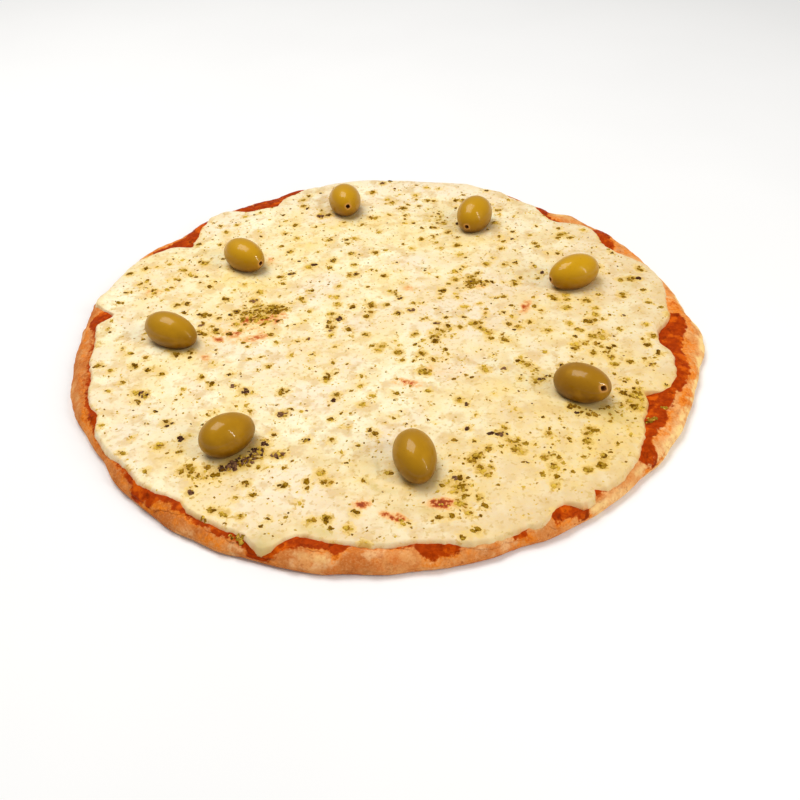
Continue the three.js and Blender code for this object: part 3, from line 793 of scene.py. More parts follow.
CHEESE_SECTORS = 1440
CHEESE_EDGE_IN = 1.7
EDGE_STEEPNESS = 1.7
EDGE_RINGS = 7
EDGE_SUNK = 0.3  # the edge's foot lies this far below the top of the sauce
UNDER_RINGS = ((0.3, 90), (0.6, 180), (0.85, 360), (0.95, 720))  # (share of the radius, count)
TOP_RINGS = ((CHEESE_SECTORS, 135), (720, 50), (360, 20), (180, 3))  # (count, down to radius)
TOP_GAPS = (0.55, 1.4, 0.05)  # between rings: the first, the widest, and what each gains
OUTLINE_STOPS = 35  # the top's rings follow the outline less and less down to this radius
EDGE_STAIN = 2.2  # how far in the melted edge is darker
FRINGE_REACH = 0.8  # how far in the sauce has coloured the melted edge

# Painted contact shade on the cheese round each olive's foot: share of its width, reach.
CONTACT_SHADE_SHARE = 0.36
CONTACT_SHADE_REACH = 2.4

# The flakes' stains are gathered on a grid, and blurred over HALO_CELLS cells on each side.
HALO_CELL = 1.0
HALO_CELLS = 5
HALO_REACH = 2.2
HALO_FULL = 5.0  # square millimetres of flakes round a place that stain it by two thirds

# Where sauce shows through the cheese: (x, y, long reach, wide reach, turn, strength).
RED_SPOTS = (
    (-62, 9, 6, 3, 40, 1.0), (-55, 7, 6, 2.5, 70, 1.0), (-72, 8, 6, 3, 20, 0.6),
    (-84, -9, 6, 3, 150, 0.65), (-74, -3, 8, 3.5, 20, 0.55), (-65, -9, 8, 3, 25, 0.5),
    (76, 10, 7, 2.6, 70, 0.9), (7.7, -51, 8, 3, 168, 0.95), (-12.5, -129.5, 3.6, 2.4, 0, 1.1),
    (21.5, -131, 6.5, 2.8, 165, 1.6), (0.4, -137, 4.5, 2, 160, 2.4), (-88.7, -23.7, 4, 3, 0, 0.75),
    (-79, -27.7, 4, 2, 0, 0.35), (15, 32.3, 3, 3, 0, 0.5), (52, 29, 5, 2.4, 0, 0.6),
    (42, -11, 3.4, 2, 40, 0.55), (-64.5, 64.6, 4, 5, 80, 0.5), (-126, 38, 4, 3, 0, 0.6),
    (52, 8, 8, 4, 160, 0.28), (27, -41, 15, 6, 170, 0.24), (-60, 66, 7, 5, 0, 0.3),
    (-68, 0, 22, 14, 10, 0.22),
)

# Yellow oily pools: (x, y, long reach, wide reach, turn, strength).
OIL_SPOTS = (
    (-80, 46, 16, 7, 150, 0.9), (-22, 100, 12, 6, 0, 0.8), (-34, 8, 12, 6, 170, 0.5),
    (-76, -70, 15, 8, 30, 0.8), (-140, 60, 9, 8, 0, 0.7), (-44, 84, 12, 8, 0, 0.5),
    (60, 76, 14, 6, 0, 0.6), (104, 12, 16, 6, 0, 0.45), (-110, -26, 14, 6, 0, 0.5),
    (40, -62, 20, 9, 20, 0.4), (-96, -96, 22, 10, 140, 0.6), (112, -92, 26, 16, 60, 0.75),
    (20, 108, 40, 12, 0, 0.45),
)

# Where the cheese is thin and glassy, in the same way.
THIN_SPOTS = (
    (-52.8, -150, 9, 6, 70, 1.0), (-33, -142, 7, 3.5, 160, 0.45), (-27, -144.5, 5, 2.5, 160, 0.45),
    (-29, -103, 6, 5, 0, 0.3), (-8.5, -117, 6, 1.6, 128, 0.8), (-1.5, -122, 6, 1.4, 165, 0.55),
    (-5, -107, 5, 1.2, 95, 0.35), (93, -77, 14, 5, 160, 0.6), (103, -80, 9, 5, 150, 0.4),
    (-64, -104, 9, 5, 20, 0.3), (44, 84, 12, 7, 0, 0.25), (133, 25, 8, 6, 80, 0.3),
    (12, -133, 12, 4, 170, 0.25),
)

# Where the cheese is browner, in the same way.
WARM_SPOTS = ((112, -92, 26, 18, 60, 0.5), (-92, -100, 26, 14, 140, 0.6))

# What rounds the outline's corners off: (turn in degrees, share).
OUTLINE_BLUR = ((-1.6, 0.12), (-0.8, 0.23), (0, 0.3), (0.8, 0.23), (1.6, 0.12))


def cheese_outline(angle):
    """The solids' outline with its corners rounded off, made a little uneven."""
    soft = sum(share * cheese_radius(angle + turn) for turn, share in OUTLINE_BLUR)
    uneven = 0.5 * fine_outline(angle, 6, 121) + 0.4 * fine_outline(angle, 2.4, 125, 2)
    return within_crust(angle, soft + stray(angle, CHEESE_STRAYS) + uneven)


def cheese_rings():
    """The rings of the cheese's underside, then of its melted edge, then of its top."""

    def under_at(a):
        radius = share * cheese_outline(a)
        return radius, sauce_top(a, radius) + GAP

    def edge_at(a):
        outline = cheese_outline(a)
        low = sauce_film(a, outline)[1] - EDGE_SUNK
        top = cheese_surface(a, outline - CHEESE_EDGE_IN)
        rise = 1 - (1 - share) ** EDGE_STEEPNESS
        return outline - CHEESE_EDGE_IN * share, low + (top - low) * rise

    def top_at(a):
        follow = step(nominal, OUTLINE_STOPS, CHEESE_RADIUS)
        radius = nominal + (cheese_outline(a) - CHEESE_RADIUS) * follow
        return radius, cheese_surface(a, radius)

    rings = [middle(float(sauce_top(0.0, 0.0) + GAP))]
    for share, count in UNDER_RINGS:
        rings.append(ring(count, under_at))
    for k in range(EDGE_RINGS):
        share = k / EDGE_RINGS
        rings.append(ring(CHEESE_SECTORS, edge_at))
    nominal = CHEESE_RADIUS - CHEESE_EDGE_IN
    gap, widest, gain = TOP_GAPS
    for count, low in TOP_RINGS:
        while nominal > low:
            rings.append(ring(count, top_at))
            nominal -= gap
            gap = min(gap + gain, widest)
    return rings + [middle(float(cheese_surface(0.0, 0.0)))]


def make_cheese():
    rings = cheese_rings()
    return skin_piece("melted_cheese", rings, cheese_look(), cheese_masks(np.concatenate(rings)))


def cheese_masks(points):
    x, y, _ = points.T
    angle, radius = polar(x, y)
    outline = cheese_outline(angle)
    inside = np.maximum(0, outline - radius)
    torn = step(rough_noise(x, y, 0, 4.5, 131), -0.25, 0.3)
    pools = step(rough_noise(x, y, 0, 38, 141), 0.05, 0.5)
    pale = step(rough_noise(x, y, 0, 30, 151), 0.0, 0.5)
    outer = step(radius, 95, 140) * step(rough_noise(x, y, 0, 18, 155), -0.4, 0.3)
    uneven = 0.5 + 0.5 * step(noise(x, y, 0, 9, 161), -0.4, 0.4)
    glassy = 0.6 + 0.4 * step(rough_noise(x, y, 0, 8, 165), -0.4, 0.4)
    wet = 0.35 + 0.65 * step(stray(angle, RED_EDGE) - outline, -0.5, 1.5)
    dabs = 0.4 + 0.6 * step(noise(x, y, 0, 3.5, 163), -0.4, 0.4)
    # Painted shade: darker and browner towards the right and the front, where less light falls.
    shade_and_browning = 0.06 + 0.0052 * x - 0.002 * y + 0.2 * step(-y, 70, 120)
    return {
        "red": spot_sum(x, y, RED_SPOTS) * (0.25 + 0.75 * torn),
        "oil": spot_sum(x, y, OIL_SPOTS) + 0.45 * pools,
        "pale": np.maximum(pale, outer * 0.8),
        "edge": np.exp(-inside / EDGE_STAIN) * uneven,
        "thin": spot_sum(x, y, THIN_SPOTS) * glassy,
        "halo": halo_mask(x, y),
        "fringe": np.exp(-inside / FRINGE_REACH) * wet * dabs,
        "shade_and_browning": shade_and_browning + spot_sum(x, y, WARM_SPOTS),
        "foot": olive_contact_shade(x, y),
    }


def olive_contact_shade(x, y):
    """How near the cheese is to the foot of an olive, where contact shade is painted."""
    nearest = [distance_to_olive(x, y, olive) - olive[5] * CONTACT_SHADE_SHARE for olive in OLIVES]
    return np.exp(-np.maximum(0, np.min(nearest, axis=0)) / CONTACT_SHADE_REACH)


def halo_mask(x, y):
    """How strongly the herbs have stained the cheese yellow round them."""
    side = int(2 * CRUST_RADIUS / HALO_CELL)
    grid = np.zeros((side, side))
    for flake_x, flake_y, length, width, *_ in flake_places() + clump_places(THICK_CLUMPS):
        i, j = (int((v + CRUST_RADIUS) / HALO_CELL) for v in (flake_x, flake_y))
        if 0 <= i < side and 0 <= j < side:
            grid[i, j] += length * width
    cells = np.arange(-HALO_CELLS, HALO_CELLS + 1)
    kernel = np.exp(-((cells * HALO_CELL / HALO_REACH) ** 2))
    for axis in (0, 1):
        grid = np.apply_along_axis(lambda row: np.convolve(row, kernel, "same"), axis, grid)
    i, j = (np.clip(((v + CRUST_RADIUS) / HALO_CELL - 0.5), 0, side - 2) for v in (x, y))
    i0, j0 = i.astype(int), j.astype(int)
    u, v = i - i0, j - j0
    smooth = (grid[i0, j0] * (1 - u) + grid[i0 + 1, j0] * u) * (1 - v)
    smooth += (grid[i0, j0 + 1] * (1 - u) + grid[i0 + 1, j0 + 1] * u) * v
    return 1 - np.exp(-smooth / HALO_FULL)


def cheese_look():
    look = Look("melted_cheese", 0.3, (1, 0.92, 0.75))
    look.fix("Subsurface Weight", 0.12)
    look.fix("Subsurface Radius", (0.004, 0.0025, 0.0012))
    broad = look.noise(14, 5)
    look.start(look.between(broad, 0.38, 0.6), (250, 229, 177), (255, 245, 207))
    pale = look.times("pale", look.between(look.noise(2.4, 4), 0.25, 0.6, 0.5, 1))
    look.paint(look.times(pale, 0.75), (247, 227, 198))
    # Painted shade towards the right and the front, with the browner spots: a darker brown.
    shade_and_browning = look.times("shade_and_browning", look.between(broad, 0.38, 0.6, 1, 0.65))
    look.paint(look.times(shade_and_browning, 0.9), (227, 195, 138))
    dull = look.between(look.noise(8, 3, 0.55), 0.48, 0.66)
    look.paint(look.times(dull, 0.75), (226, 192, 134))
    oil = look.times("oil", look.between(look.noise(5, 4), 0.28, 0.62, 0.3, 1))
    look.paint(look.times(oil, 0.75), (250, 217, 124))
    halo = look.plus("halo", look.between(look.noise(1.8), 0.3, 0.7, -0.2, 0.2))
    look.paint(look.between(halo, 0.05, 0.45, 0, 0.6), (246, 209, 116))
    look.paint(look.between(halo, 0.4, 0.9, 0, 0.65), (208, 162, 56))
    crumbs = look.between(look.noise(2.1, 2, 0.5), 0.57, 0.67)
    crumbs = look.times(crumbs, look.between(look.mask("halo"), 0, 0.3, 0.42, 0.85))
    look.paint(crumbs, (206, 162, 66))
    # Painted shade: the cheese round each olive's foot is a darker brown.
    look.paint(look.times("foot", 0.5), (218, 180, 100))
    look.paint(look.times("edge", 0.4), (236, 204, 126))
    look.paint(look.times("thin", 0.85), (208, 182, 96))
    look.paint(look.times("fringe", 0.8), (220, 130, 52))
    red = look.times("red", look.between(look.noise(1.8, 4), 0.3, 0.6, 0.35, 1))
    look.paint(look.between(red, 0.03, 0.36, 0, 0.9), (246, 186, 112))
    look.paint(look.between(red, 0.22, 0.7), (194, 84, 6))
    look.paint(look.between(red, 0.55, 1), (146, 52, 2))
    relief = look.bump(look.noise(6, 2, 0.45), 0.7, 0.6)
    relief = look.bump(look.noise(1.4, 2, 0.5), 0.06, 0.5, relief)
    return look.finish(look.between(oil, 0, 1, 0.5, 0.32), relief)


# ---- Olives ----

OLIVE_SIDES = 64
OLIVE_RINGS = 56
OLIVE_LOWER = 0.14  # a smooth olive rises above the solids' facets by this much
OLIVE_TONES = (0.85, 0.75, 1.0, 0.0, 0.25, 0.2, 0.4, 0.85)  # from dull to bright
UNEVENNESS = 0.012
SHORTENED = 0.995
PUCKER = 0.06  # how deeply the skin is puckered round the pit hole
PUCKER_WAVES = 4
HOLE_RIM = 1.7  # the skin is torn this many hole radii round the hole

# The wall of the pit hole: (share of its rim's radius, how far down).
HOLE_RINGS = ((0.9, -0.02), (0.8, 0.3), (0.74, 0.9), (0.7, 2), (0.66, PIT_HOLE_DEPTH))

# A pit hole that isn't at its tip: (way round the olive, degrees from the tip).
HOLES_BESIDE_TIP = {4: (141.5, 27)}


def olive_profile(olive):
    """(along, away from the axis) from the blunt end to the bottom of the pit hole."""
    _, _, _, _, length, across, slim = olive
    half, wide = length / 2, across / 2
    last = math.acos(-math.sqrt(1 - (PIT_HOLE_RADIUS / wide) ** 2))
    profile = []
    for turn in np.linspace(0, last, OLIVE_RINGS)[1:]:
        share = -math.cos(turn)
        profile.append((half * share, wide * math.sin(turn) * (1 - slim * OLIVE_TAPER * share)))
    rim_along, rim_away = profile[-1]
    return profile + [(rim_along - down, rim_away * share) for share, down in HOLE_RINGS]


def slide_skin(points, olive, way, away):
    """The skin slid round by `away` degrees, so that the hole leaves the tip and the form stays."""
    _, _, _, _, length, across, slim = olive
    half, wide = length / 2, across / 2
    along = points[:, 0] / half
    girth = wide * (1 - slim * OLIVE_TAPER * along)
    u, v = points[:, 1] / girth, points[:, 2] / girth
    c, s = cos_sin(way)
    towards, beside = u * c + v * s, v * c - u * s
    c_away, s_away = cos_sin(away)
    along, towards = along * c_away - towards * s_away, along * s_away + towards * c_away
    girth = wide * (1 - slim * OLIVE_TAPER * along)
    u, v = towards * c - beside * s, towards * s + beside * c
    return np.stack([along * half, u * girth, v * girth], axis=-1)


def olive_rings(olive):
    """Rings of points along the X axis."""
    profile = olive_profile(olive)
    turn = np.arange(OLIVE_SIDES) * 2 * math.pi / OLIVE_SIDES
    rings = [np.array([[-olive[4] / 2, 0, 0]])]
    for along, away in profile:
        flat = np.full(OLIVE_SIDES, along)
        rings.append(np.stack([flat, away * np.cos(turn), away * np.sin(turn)], axis=-1))
    return rings + [np.array([[profile[-1][0], 0, 0]])]


def make_olive(number, olive, material):
    at_x, at_y, heading, raised, length, across, _ = olive
    rings = olive_rings(olive)

    # A real olive is a little uneven and puckered round the pit hole.
    along, u, v = np.concatenate(rings).T
    lumps = rough_noise(along, u, v, 9, 200 + 10 * number, 2)
    near_hole = step(along, length * 0.36, length * 0.5)
    pucker = near_hole * np.cos(PUCKER_WAVES * np.arctan2(v, u) + number) * PUCKER
    scale = 1 - UNEVENNESS + UNEVENNESS * lumps + pucker
    points = np.stack([along * SHORTENED, u * scale, v * scale], axis=-1)
    if number in HOLES_BESIDE_TIP:
        points = slide_skin(points, olive, *HOLES_BESIDE_TIP[number])

    c, s = cos_sin(heading)
    c_rise, s_rise = cos_sin(raised)
    axis, side = np.array([c * c_rise, s * c_rise, s_rise]), np.array([-s, c, 0])
    height = float(cheese_level(at_x, at_y)) - OLIVE_SUNK - OLIVE_LOWER + across / 2
    facing = points @ np.stack([axis, side, np.cross(axis, side)])
    placed = facing + np.array([at_x, at_y, height])
    at_tip = step(along, length / 2 - 1.6, length / 2 - 0.2)
    masks = {
        "hole": at_tip * step(-np.hypot(u, v), -PIT_HOLE_RADIUS * HOLE_RIM, -PIT_HOLE_RADIUS),
        "inside": np.arange(len(points)) >= len(points) - 1 - len(HOLE_RINGS) * OLIVE_SIDES,
        # How high each point is on the olive, for the painted shade on its lower side.
        "height_for_shade": 0.5 + (placed[:, 2] - height) / across,
        "tone": np.full(len(points), OLIVE_TONES[number - 1]),
    }
    return skin_piece(f"green_olive_{number}", rings, material, masks, placed)


def olive_look():
    look = Look("olive_skin", 0.42, (1, 0.72, 0.22))
    look.fix("Coat Weight", 0.34)
    look.fix("Coat Roughness", 0.06)
    look.fix("Coat Tint", (1, 0.94, 0.5, 1))
    # Painted light and shade: each olive is dark at its bottom and light at its top, in its own
    # tone.
    low = look.mix(look.mask("tone"), (78, 42, 0), (112, 68, 0))
    high = look.mix(look.mask("tone"), (160, 110, 0), (204, 152, 0))
    look.start(look.between(look.mask("height_for_shade"), 0.05, 0.95), low, high)
    look.paint(look.between(look.noise(7, 3, 0.55), 0.45, 0.75, 0, 0.4), (194, 140, 2))
    look.paint(look.between(look.noise(1.3), 0.6, 0.8, 0, 0.4), (128, 86, 0))
    look.paint(look.times("hole", 0.8), (216, 156, 88))
    look.paint(look.mask("inside"), (116, 66, 22))
    return look.finish(0.42, look.bump(look.noise(2.2, 3, 0.5), 0.14, 0.5))


# ---- Herb flakes ----

KIND_SHARES = (0.6, 0.95)  # green below the first, brown below the second, then purple
SPECK_GREEN_SHARE = 0.92
FLAKE_CORNERS = 6
FLAKE_CROWN = 0.78  # a bit narrows upward from its foot to its crown
FLAKE_FOOT = 1.12
FLAKE_SUNK = 0.1
CORNER_DRAWS = 64  # draws of chance set apart for the corners of each bit

# A flake is a clump with about one bit for each BITS_AREA square mm. The lengths are, as in
# FLAKE_LENGTHS: shortest, most that is added, power. The widths are shares of the length.
BITS_AREA = 1.15
MOST_BITS = 18
BITS_REACH = 0.75
BIT_LENGTHS = (1, 2, 1.5)
BIT_WIDTHS = (0.44, 0.42)
BIT_TURNS = 150
LONGEST_BIT = 1.2  # of the flake's length
SMALL_BIT = 1.5  # bits shorter than this are thin, and so lighter

STRAYS = 0.18  # share of a clump's bits that are of another kind
STRAY_KINDS = ((BROWN, BROWN), (GREEN, PURPLE), (GREEN, BROWN))  # which others, often and seldom
SELDOM_ABOVE = 0.8  # a draw above this gives the other kind that is seldom
OUTER_BIT = 0.5  # beyond this share of a flake's reach, half of the bits are green
SPECK_COUNT = 1500
SPECK_LENGTHS = (0.75, 0.75)
SPECK_WIDTH = 0.7
FIRST_SPECK = 5000
CLEAR_OF_EDGE = 0.8
CLEAR_OF_OLIVE = 0.82  # of its half width, because bits lie under the olive's overhang too

# Name, dark and light colour of each kind's look.
HERB_LOOKS = (
    ("green", (138, 96, 2), (228, 188, 72)),
    ("brown", (98, 62, 2), (176, 130, 36)),
    ("purple", (64, 36, 24), (146, 104, 72)),
)

# Clumps too crowded for the solids: (x, y, long reach, wide reach, turn, count, kind).
THICK_CLUMPS = (
    (-66, 14, 15, 5, 22, 60, BROWN), (-60, 17, 8, 3.5, 25, 26, BROWN),
    (-64, -100, 10, 3.2, 40, 34, PURPLE), (-66, -102, 4.4, 1.8, 35, 20, PURPLE),
    (-58.5, -95, 3, 1.4, 40, 12, PURPLE), (-71.5, -104.5, 3.4, 1.6, 10, 14, PURPLE),
    (-49.9, -97.4, 3.4, 1.3, 8, 12, PURPLE), (-55.7, -90.5, 1.6, 1.4, 0, 6, PURPLE),
    (98, -80, 15, 6, 155, 24, BROWN), (118, -62, 11, 5, 110, 14, GREEN),
    (90, -98, 13, 8, 150, 12, GREEN), (52, 32, 9, 3, 10, 22, BROWN),
    (30, -12, 9, 4, 30, 20, GREEN), (56, -98, 7, 4, 10, 16, GREEN), (30, -121, 8, 4, 0, 18, GREEN),
    (-86, -106, 9, 4, 150, 16, GREEN),
)
FIRST_CLUMP_FLAKE = 20000
CLUMP_POWER = 0.6
CLUMP_LENGTHS = (1.1, 2.2, 1.5)
CLUMP_WIDTH = 0.6

# Herbs that fell on the sauce, in the same way.
RIM_CLUMPS = (
    (120.5, -83.5, 2.6, 1.6, 30, 8, BROWN), (-64.5, -143.2, 3, 1.4, 150, 9, BROWN),
    (-78, -132.6, 1.6, 1, 150, 3, BROWN), (129, -75, 1.4, 1, 0, 2, BROWN),
)
FIRST_RIM_FLAKE = 25000


def drawn_size(draws, shortest, added, power=1):
    return shortest + added * draws**power


def flake_places():
    """x, y, length, width, turn, number and kind of every flake that the solids know."""
    places = [(*flake[:5], k, flake[5]) for k, flake in enumerate(LARGE_FLAKES)]

    def add(x, y, number):
        length = drawn_size(draw(number, FOR_LENGTH), *FLAKE_LENGTHS)
        width = length * drawn_size(draw(number, FOR_WIDTH), *FLAKE_WIDTHS)
        kind = int(np.searchsorted(KIND_SHARES, draw(number, FOR_KIND), side="right"))
        places.append((x, y, length, width, 360 * draw(number, FOR_TURN), number, kind))

    scatter = FLAKE_SCATTER * FLAKE_SPREAD_RADIUS * math.sqrt(math.pi / FLAKE_COUNT)
    for k in range(FLAKE_COUNT):
        number = FIRST_SPREAD_FLAKE + k
        radius = FLAKE_SPREAD_RADIUS * math.sqrt((k + 0.5) / FLAKE_COUNT)
        x, y = flat_place(k * SPIRAL_STEP, radius)
        stray_x = scatter * (draw(number, FOR_FIRST_PLACE) - 0.5)
        stray_y = scatter * (draw(number, FOR_SECOND_PLACE) - 0.5)
        add(float(x + stray_x), float(y + stray_y), number)
    number = FIRST_CLUSTER_FLAKE
    for x, y, spread, count in FLAKE_CLUSTERS:
        for _ in range(count):
            away = spread * draw(number, FOR_FIRST_PLACE) ** CLUSTER_POWER
            dx, dy = flat_place(360 * draw(number, FOR_SECOND_PLACE), away)
            add(x + float(dx), y + float(dy), number)
            number += 1
    return places


def turned(x, y, u, v, degrees):
    """The place x, y moved by u, v after those are turned."""
    c, s = cos_sin(degrees)
    return x + u * c - v * s, y + u * s + v * c


def clump_places(clumps, number=FIRST_CLUMP_FLAKE):
    """The flakes of the crowded clumps."""
    places = []
    for x, y, long_reach, wide_reach, turn, count, kind in clumps:
        for _ in range(count):
            away = draw(number, FOR_FIRST_PLACE) ** CLUMP_POWER
            c, s = cos_sin(360 * draw(number, FOR_SECOND_PLACE))
            place = turned(x, y, long_reach * away * c, wide_reach * away * s, turn)
            length = drawn_size(draw(number, FOR_LENGTH), *CLUMP_LENGTHS)
            tilt = 360 * draw(number, FOR_TURN)
            places.append((*place, length, CLUMP_WIDTH * length, tilt, number, kind))
            number += 1
    return places


def clump_bits(places):
    """The small bits that flakes are clumps of: rows of x, y, length, width, turn, number, kind."""
    rows = []
    for x, y, length, width, turn, number, kind in places:
        count = int(np.clip(round(0.5 + length * width / BITS_AREA), 1, MOST_BITS))
        bit = number * MOST_BITS + np.arange(count)
        draws = [chance(bit, FOR_BITS + k) for k in range(8)]
        away = BITS_REACH * np.sqrt(draws[0]) * (count > 1)
        u, v = flat_place(360 * draws[1], away)
        place = turned(x, y, length / 2 * u, width / 2 * v, turn)
        size = np.minimum(LONGEST_BIT * length, drawn_size(draws[2], *BIT_LENGTHS))
        slim = size * drawn_size(draws[3], *BIT_WIDTHS)
        tilt = turn + BIT_TURNS * (draws[4] - 0.5)
        often, seldom = STRAY_KINDS[kind]
        other = np.where(draws[6] > SELDOM_ABOVE, seldom, often)
        greened = (away > OUTER_BIT) & (draws[7] < 0.5) & (kind != PURPLE)
        sort = np.where(greened, GREEN, np.where(draws[5] < STRAYS, other, kind))
        rows.append(np.stack([*place, size, slim, tilt, bit, sort], axis=-1))
    return np.concatenate(rows)


def speck_bits():
    """Crumbs of herb between the flakes, too small for the solids."""
    number = FIRST_SPECK * MOST_BITS + np.arange(SPECK_COUNT)
    radius = FLAKE_SPREAD_RADIUS * np.sqrt(chance(number, FOR_FIRST_PLACE))
    x, y = flat_place(360 * chance(number, FOR_SECOND_PLACE), radius)
    length = drawn_size(chance(number, FOR_LENGTH), *SPECK_LENGTHS)
    kind = np.where(chance(number, FOR_KIND) < SPECK_GREEN_SHARE, GREEN, BROWN)
    turn = 360 * chance(number, FOR_TURN)
    return np.stack([x, y, length, SPECK_WIDTH * length, turn, number, kind], axis=-1)


def lies_free(x, y, half):
    """True where a bit lies on the cheese and clear of every olive."""
    angle, radius = polar(x, y)
    free = radius < cheese_outline(angle) - CLEAR_OF_EDGE - half
    for olive in OLIVES:
        free &= distance_to_olive(x, y, olive) > CLEAR_OF_OLIVE * olive[5] / 2 + half
    return free


def food_surface(angle, radius):
    """The cheese's top, or the sauce's beyond the cheese."""
    on_cheese = radius < cheese_outline(angle) - 0.5
    return np.where(on_cheese, cheese_surface(angle, radius), sauce_film(angle, radius)[1])


def flake_mesh(bits):
    """One joined mesh of uneven, slightly crumpled plates that lie on the cheese."""
    x, y, length, width, turn, number, _ = bits.T[:, :, None]
    corner = np.arange(FLAKE_CORNERS)
    which = number.astype(np.int64) * CORNER_DRAWS + corner
    angle = 360 * (corner + 0.55 * chance(which, FOR_CORNERS)) / FLAKE_CORNERS
    u, v = flat_place(angle, 0.6 + 0.7 * chance(which, FOR_CORNERS + 1))
    u, v = length / 2 * u, width / 2 * v
    c, s = flat_place(turn, 1)
    du, dv = u * c - v * s, u * s + v * c
    thick = np.minimum(0.45, 0.05 + 0.14 * length)

    def layer(share, lift):
        px, py = x + share * du, y + share * dv
        return np.stack([px, py, food_surface(*polar(px, py)) + lift], axis=-1)

    crown = layer(FLAKE_CROWN, thick * (0.3 + 0.8 * chance(which, FOR_HEIGHTS)))
    foot = layer(FLAKE_FOOT, -FLAKE_SUNK)
    peak = layer(0, thick * (0.6 + 0.8 * chance(which[:, :1], FOR_HEIGHTS + 1)))[:, :1]
    points = np.concatenate([crown, foot, peak], axis=1)
    start = np.arange(len(points))[:, None] * points.shape[1]
    n = FLAKE_CORNERS
    faces = []
    for here in range(n):
        after = (here + 1) % n
        faces += (start + [[here, after, 2 * n]]).tolist()
        faces += (start + [[n + here, n + after, after, here]]).tolist()
    faces += (start + [list(range(2 * n - 1, n - 1, -1))]).tolist()
    return points.reshape(-1, 3), faces


def bit_tones(bits):
    """How light each bit is: some flakes are faint, and the small bits are thin."""
    number = bits[:, 5].astype(np.int64)
    tone = 0.5 * chance(number, FOR_TONE) + 0.9 * chance(number // MOST_BITS, FOR_TONE + 1) - 0.42
    tone = tone + 1.6 * np.maximum(0, SMALL_BIT - bits[:, 2])
    return np.repeat(tone, 2 * FLAKE_CORNERS + 1)


def herb_look(name, dark, light):
    look = Look(name, 0.05, (1, 0.7, 0.4))
    uneven = look.between(look.noise(1.4, 4, 0.7), 0.35, 0.65, 0, 0.5)
    tone = look.plus(uneven, look.mask("tone"))
    look.start(look.between(tone, 0.1, 1.2), dark, light)
    return look.finish(0.8, look.bump(look.noise(0.5, 4), 0.12, 0.7))


def make_flakes():
    bits = np.concatenate([clump_bits(flake_places() + clump_places(THICK_CLUMPS)), speck_bits()])
    bits = bits[lies_free(bits[:, 0], bits[:, 1], bits[:, 2] / 2)]
    bits = np.concatenate([bits, clump_bits(clump_places(RIM_CLUMPS, FIRST_RIM_FLAKE))])
    pieces = []
    for kind, (name, dark, light) in enumerate(HERB_LOOKS):
        of_kind = bits[bits[:, 6] == kind]
        points, faces = flake_mesh(of_kind)
        look, masks = herb_look("herb_" + name, dark, light), {"tone": bit_tones(of_kind)}
        pieces.append(make_piece("herb_flakes_" + name, points, faces, look, masks, smooth=False))
    return pieces


# ---- The pieces ----

crust = make_crust()
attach(crust, "root")
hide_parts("crust")

sauce = make_sauce()
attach(sauce, "root")
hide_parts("sauce")

cheese = make_cheese()
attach(cheese, "root")
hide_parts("cheese")

olive_skin = olive_look()
for index, place in enumerate(OLIVES, start=1):
    olive_piece = make_olive(index, place, olive_skin)
    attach(olive_piece, "root")
    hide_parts(f"olive_{index}")

for flakes in make_flakes():
    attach(flakes, "root")

# ---- Floor, light and camera ----

# The floor and the lights are in metres.
FLOOR_SIZE = 8.0
FLOOR_BELOW = 0.0002
LIT_PLACE = (0.0, 0.0, 0.01)
SKY_STRENGTH = 0.35

# Name, place, watts, width and height of each light.
LIGHTS = (
    ("key_light", (-0.35, 0.25, 1.1), 9.5, 0.7, 0.7),
    ("side_light", (0.8, -0.5, 0.62), 5, 0.026, 0.9),
)


def make_floor():
    half = FLOOR_SIZE / 2
    mesh = bpy.data.meshes.new("floor")
    corners = [(-half, -half), (half, -half), (half, half), (-half, half)]
    mesh.from_pydata([(x, y, -FLOOR_BELOW) for x, y in corners], [], [(0, 1, 2, 3)])
    look = Look("floor_paint", 0.1, (1, 1, 1))
    look.start(look.between(look.noise(400), 0.3, 0.7), (246, 245, 243), (250, 249, 247))
    mesh.materials.append(look.finish(0.9))
    add_object("floor", mesh)


def matrix_of(right, up, back, place):
    return Matrix(np.vstack([np.stack([right, up, back, place], axis=-1), [0, 0, 0, 1]]).tolist())


def aim(place):
    """A matrix at `place` that looks down at the food."""
    place = np.array(place, float)
    back = place - np.array(LIT_PLACE)
    back = back / np.linalg.norm(back)
    right = np.cross([0, 0, 1], back)
    right /= np.linalg.norm(right)
    return matrix_of(right, np.cross(back, right), back, place)


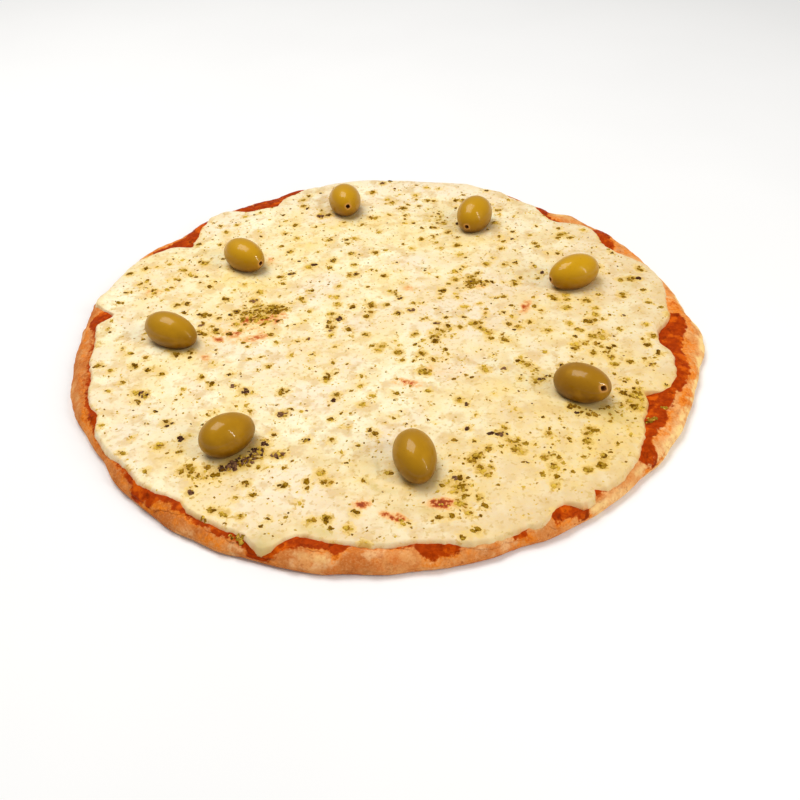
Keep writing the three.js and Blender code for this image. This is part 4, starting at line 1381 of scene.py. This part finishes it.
def add_light(name, place, watts, width, height):
    light = bpy.data.lights.new(name, "AREA")
    light.shape = "RECTANGLE"
    light.size, light.size_y = width, height
    light.energy = watts
    add_object(name, light).matrix_world = aim(place)


def make_lights():
    world = bpy.data.worlds.new("studio")
    world.use_nodes = True
    background = world.node_tree.nodes["Background"]
    background.inputs["Color"].default_value = (1, 1, 1, 1)
    background.inputs["Strength"].default_value = SKY_STRENGTH
    bpy.context.scene.world = world
    for light in LIGHTS:
        add_light(*light)


# The camera looks at the middle of the fitted circle from CAMERA_DISTANCE mm away, then turns
# so that the middle falls on pixel (MIDDLE_U, MIDDLE_V) of the 800 x 800 picture. The angles
# are in radians.
CAMERA_DISTANCE = 505
ELEVATION = 0.6363256862
ROLL = 0.0462493844
MIDDLE_U, MIDDLE_V = 383.8173, 337.8903
FOCAL_PIXELS = 951.3631
PICTURE_WIDTH = 800


def make_camera():
    back = np.array([0, -math.cos(ELEVATION), math.sin(ELEVATION)])
    right = np.array([1.0, 0, 0])
    base = np.stack([right, np.cross(right, -back), -back])
    c, s = math.cos(ROLL), math.sin(ROLL)
    roll = np.array([[c, -s, 0], [s, c, 0], [0, 0, 1]])
    centre = PICTURE_WIDTH / 2
    aim_at = np.array([(MIDDLE_U - centre) / FOCAL_PIXELS, (centre - MIDDLE_V) / FOCAL_PIXELS, 1])
    aim_at /= np.linalg.norm(aim_at)
    v = np.cross([0, 0, 1], aim_at)
    k = np.array([[0, -v[2], v[1]], [v[2], 0, -v[0]], [-v[1], v[0], 0]])
    turn = np.eye(3) + k + k @ k / (1 + aim_at[2])
    axes = turn @ roll @ base
    place = (back * CAMERA_DISTANCE + np.array([*CENTRE_SHIFT, 0])) * MM
    data = bpy.data.cameras.new("camera")
    data.sensor_width = 36
    data.lens = FOCAL_PIXELS / PICTURE_WIDTH * data.sensor_width
    camera = add_object("camera", data)
    camera.matrix_world = matrix_of(axes[0], axes[1], -axes[2], place)
    bpy.context.scene.camera = camera


make_floor()
make_lights()
make_camera()
bpy.context.scene.view_settings.view_transform = "Standard"

bpy.context.view_layer.update()
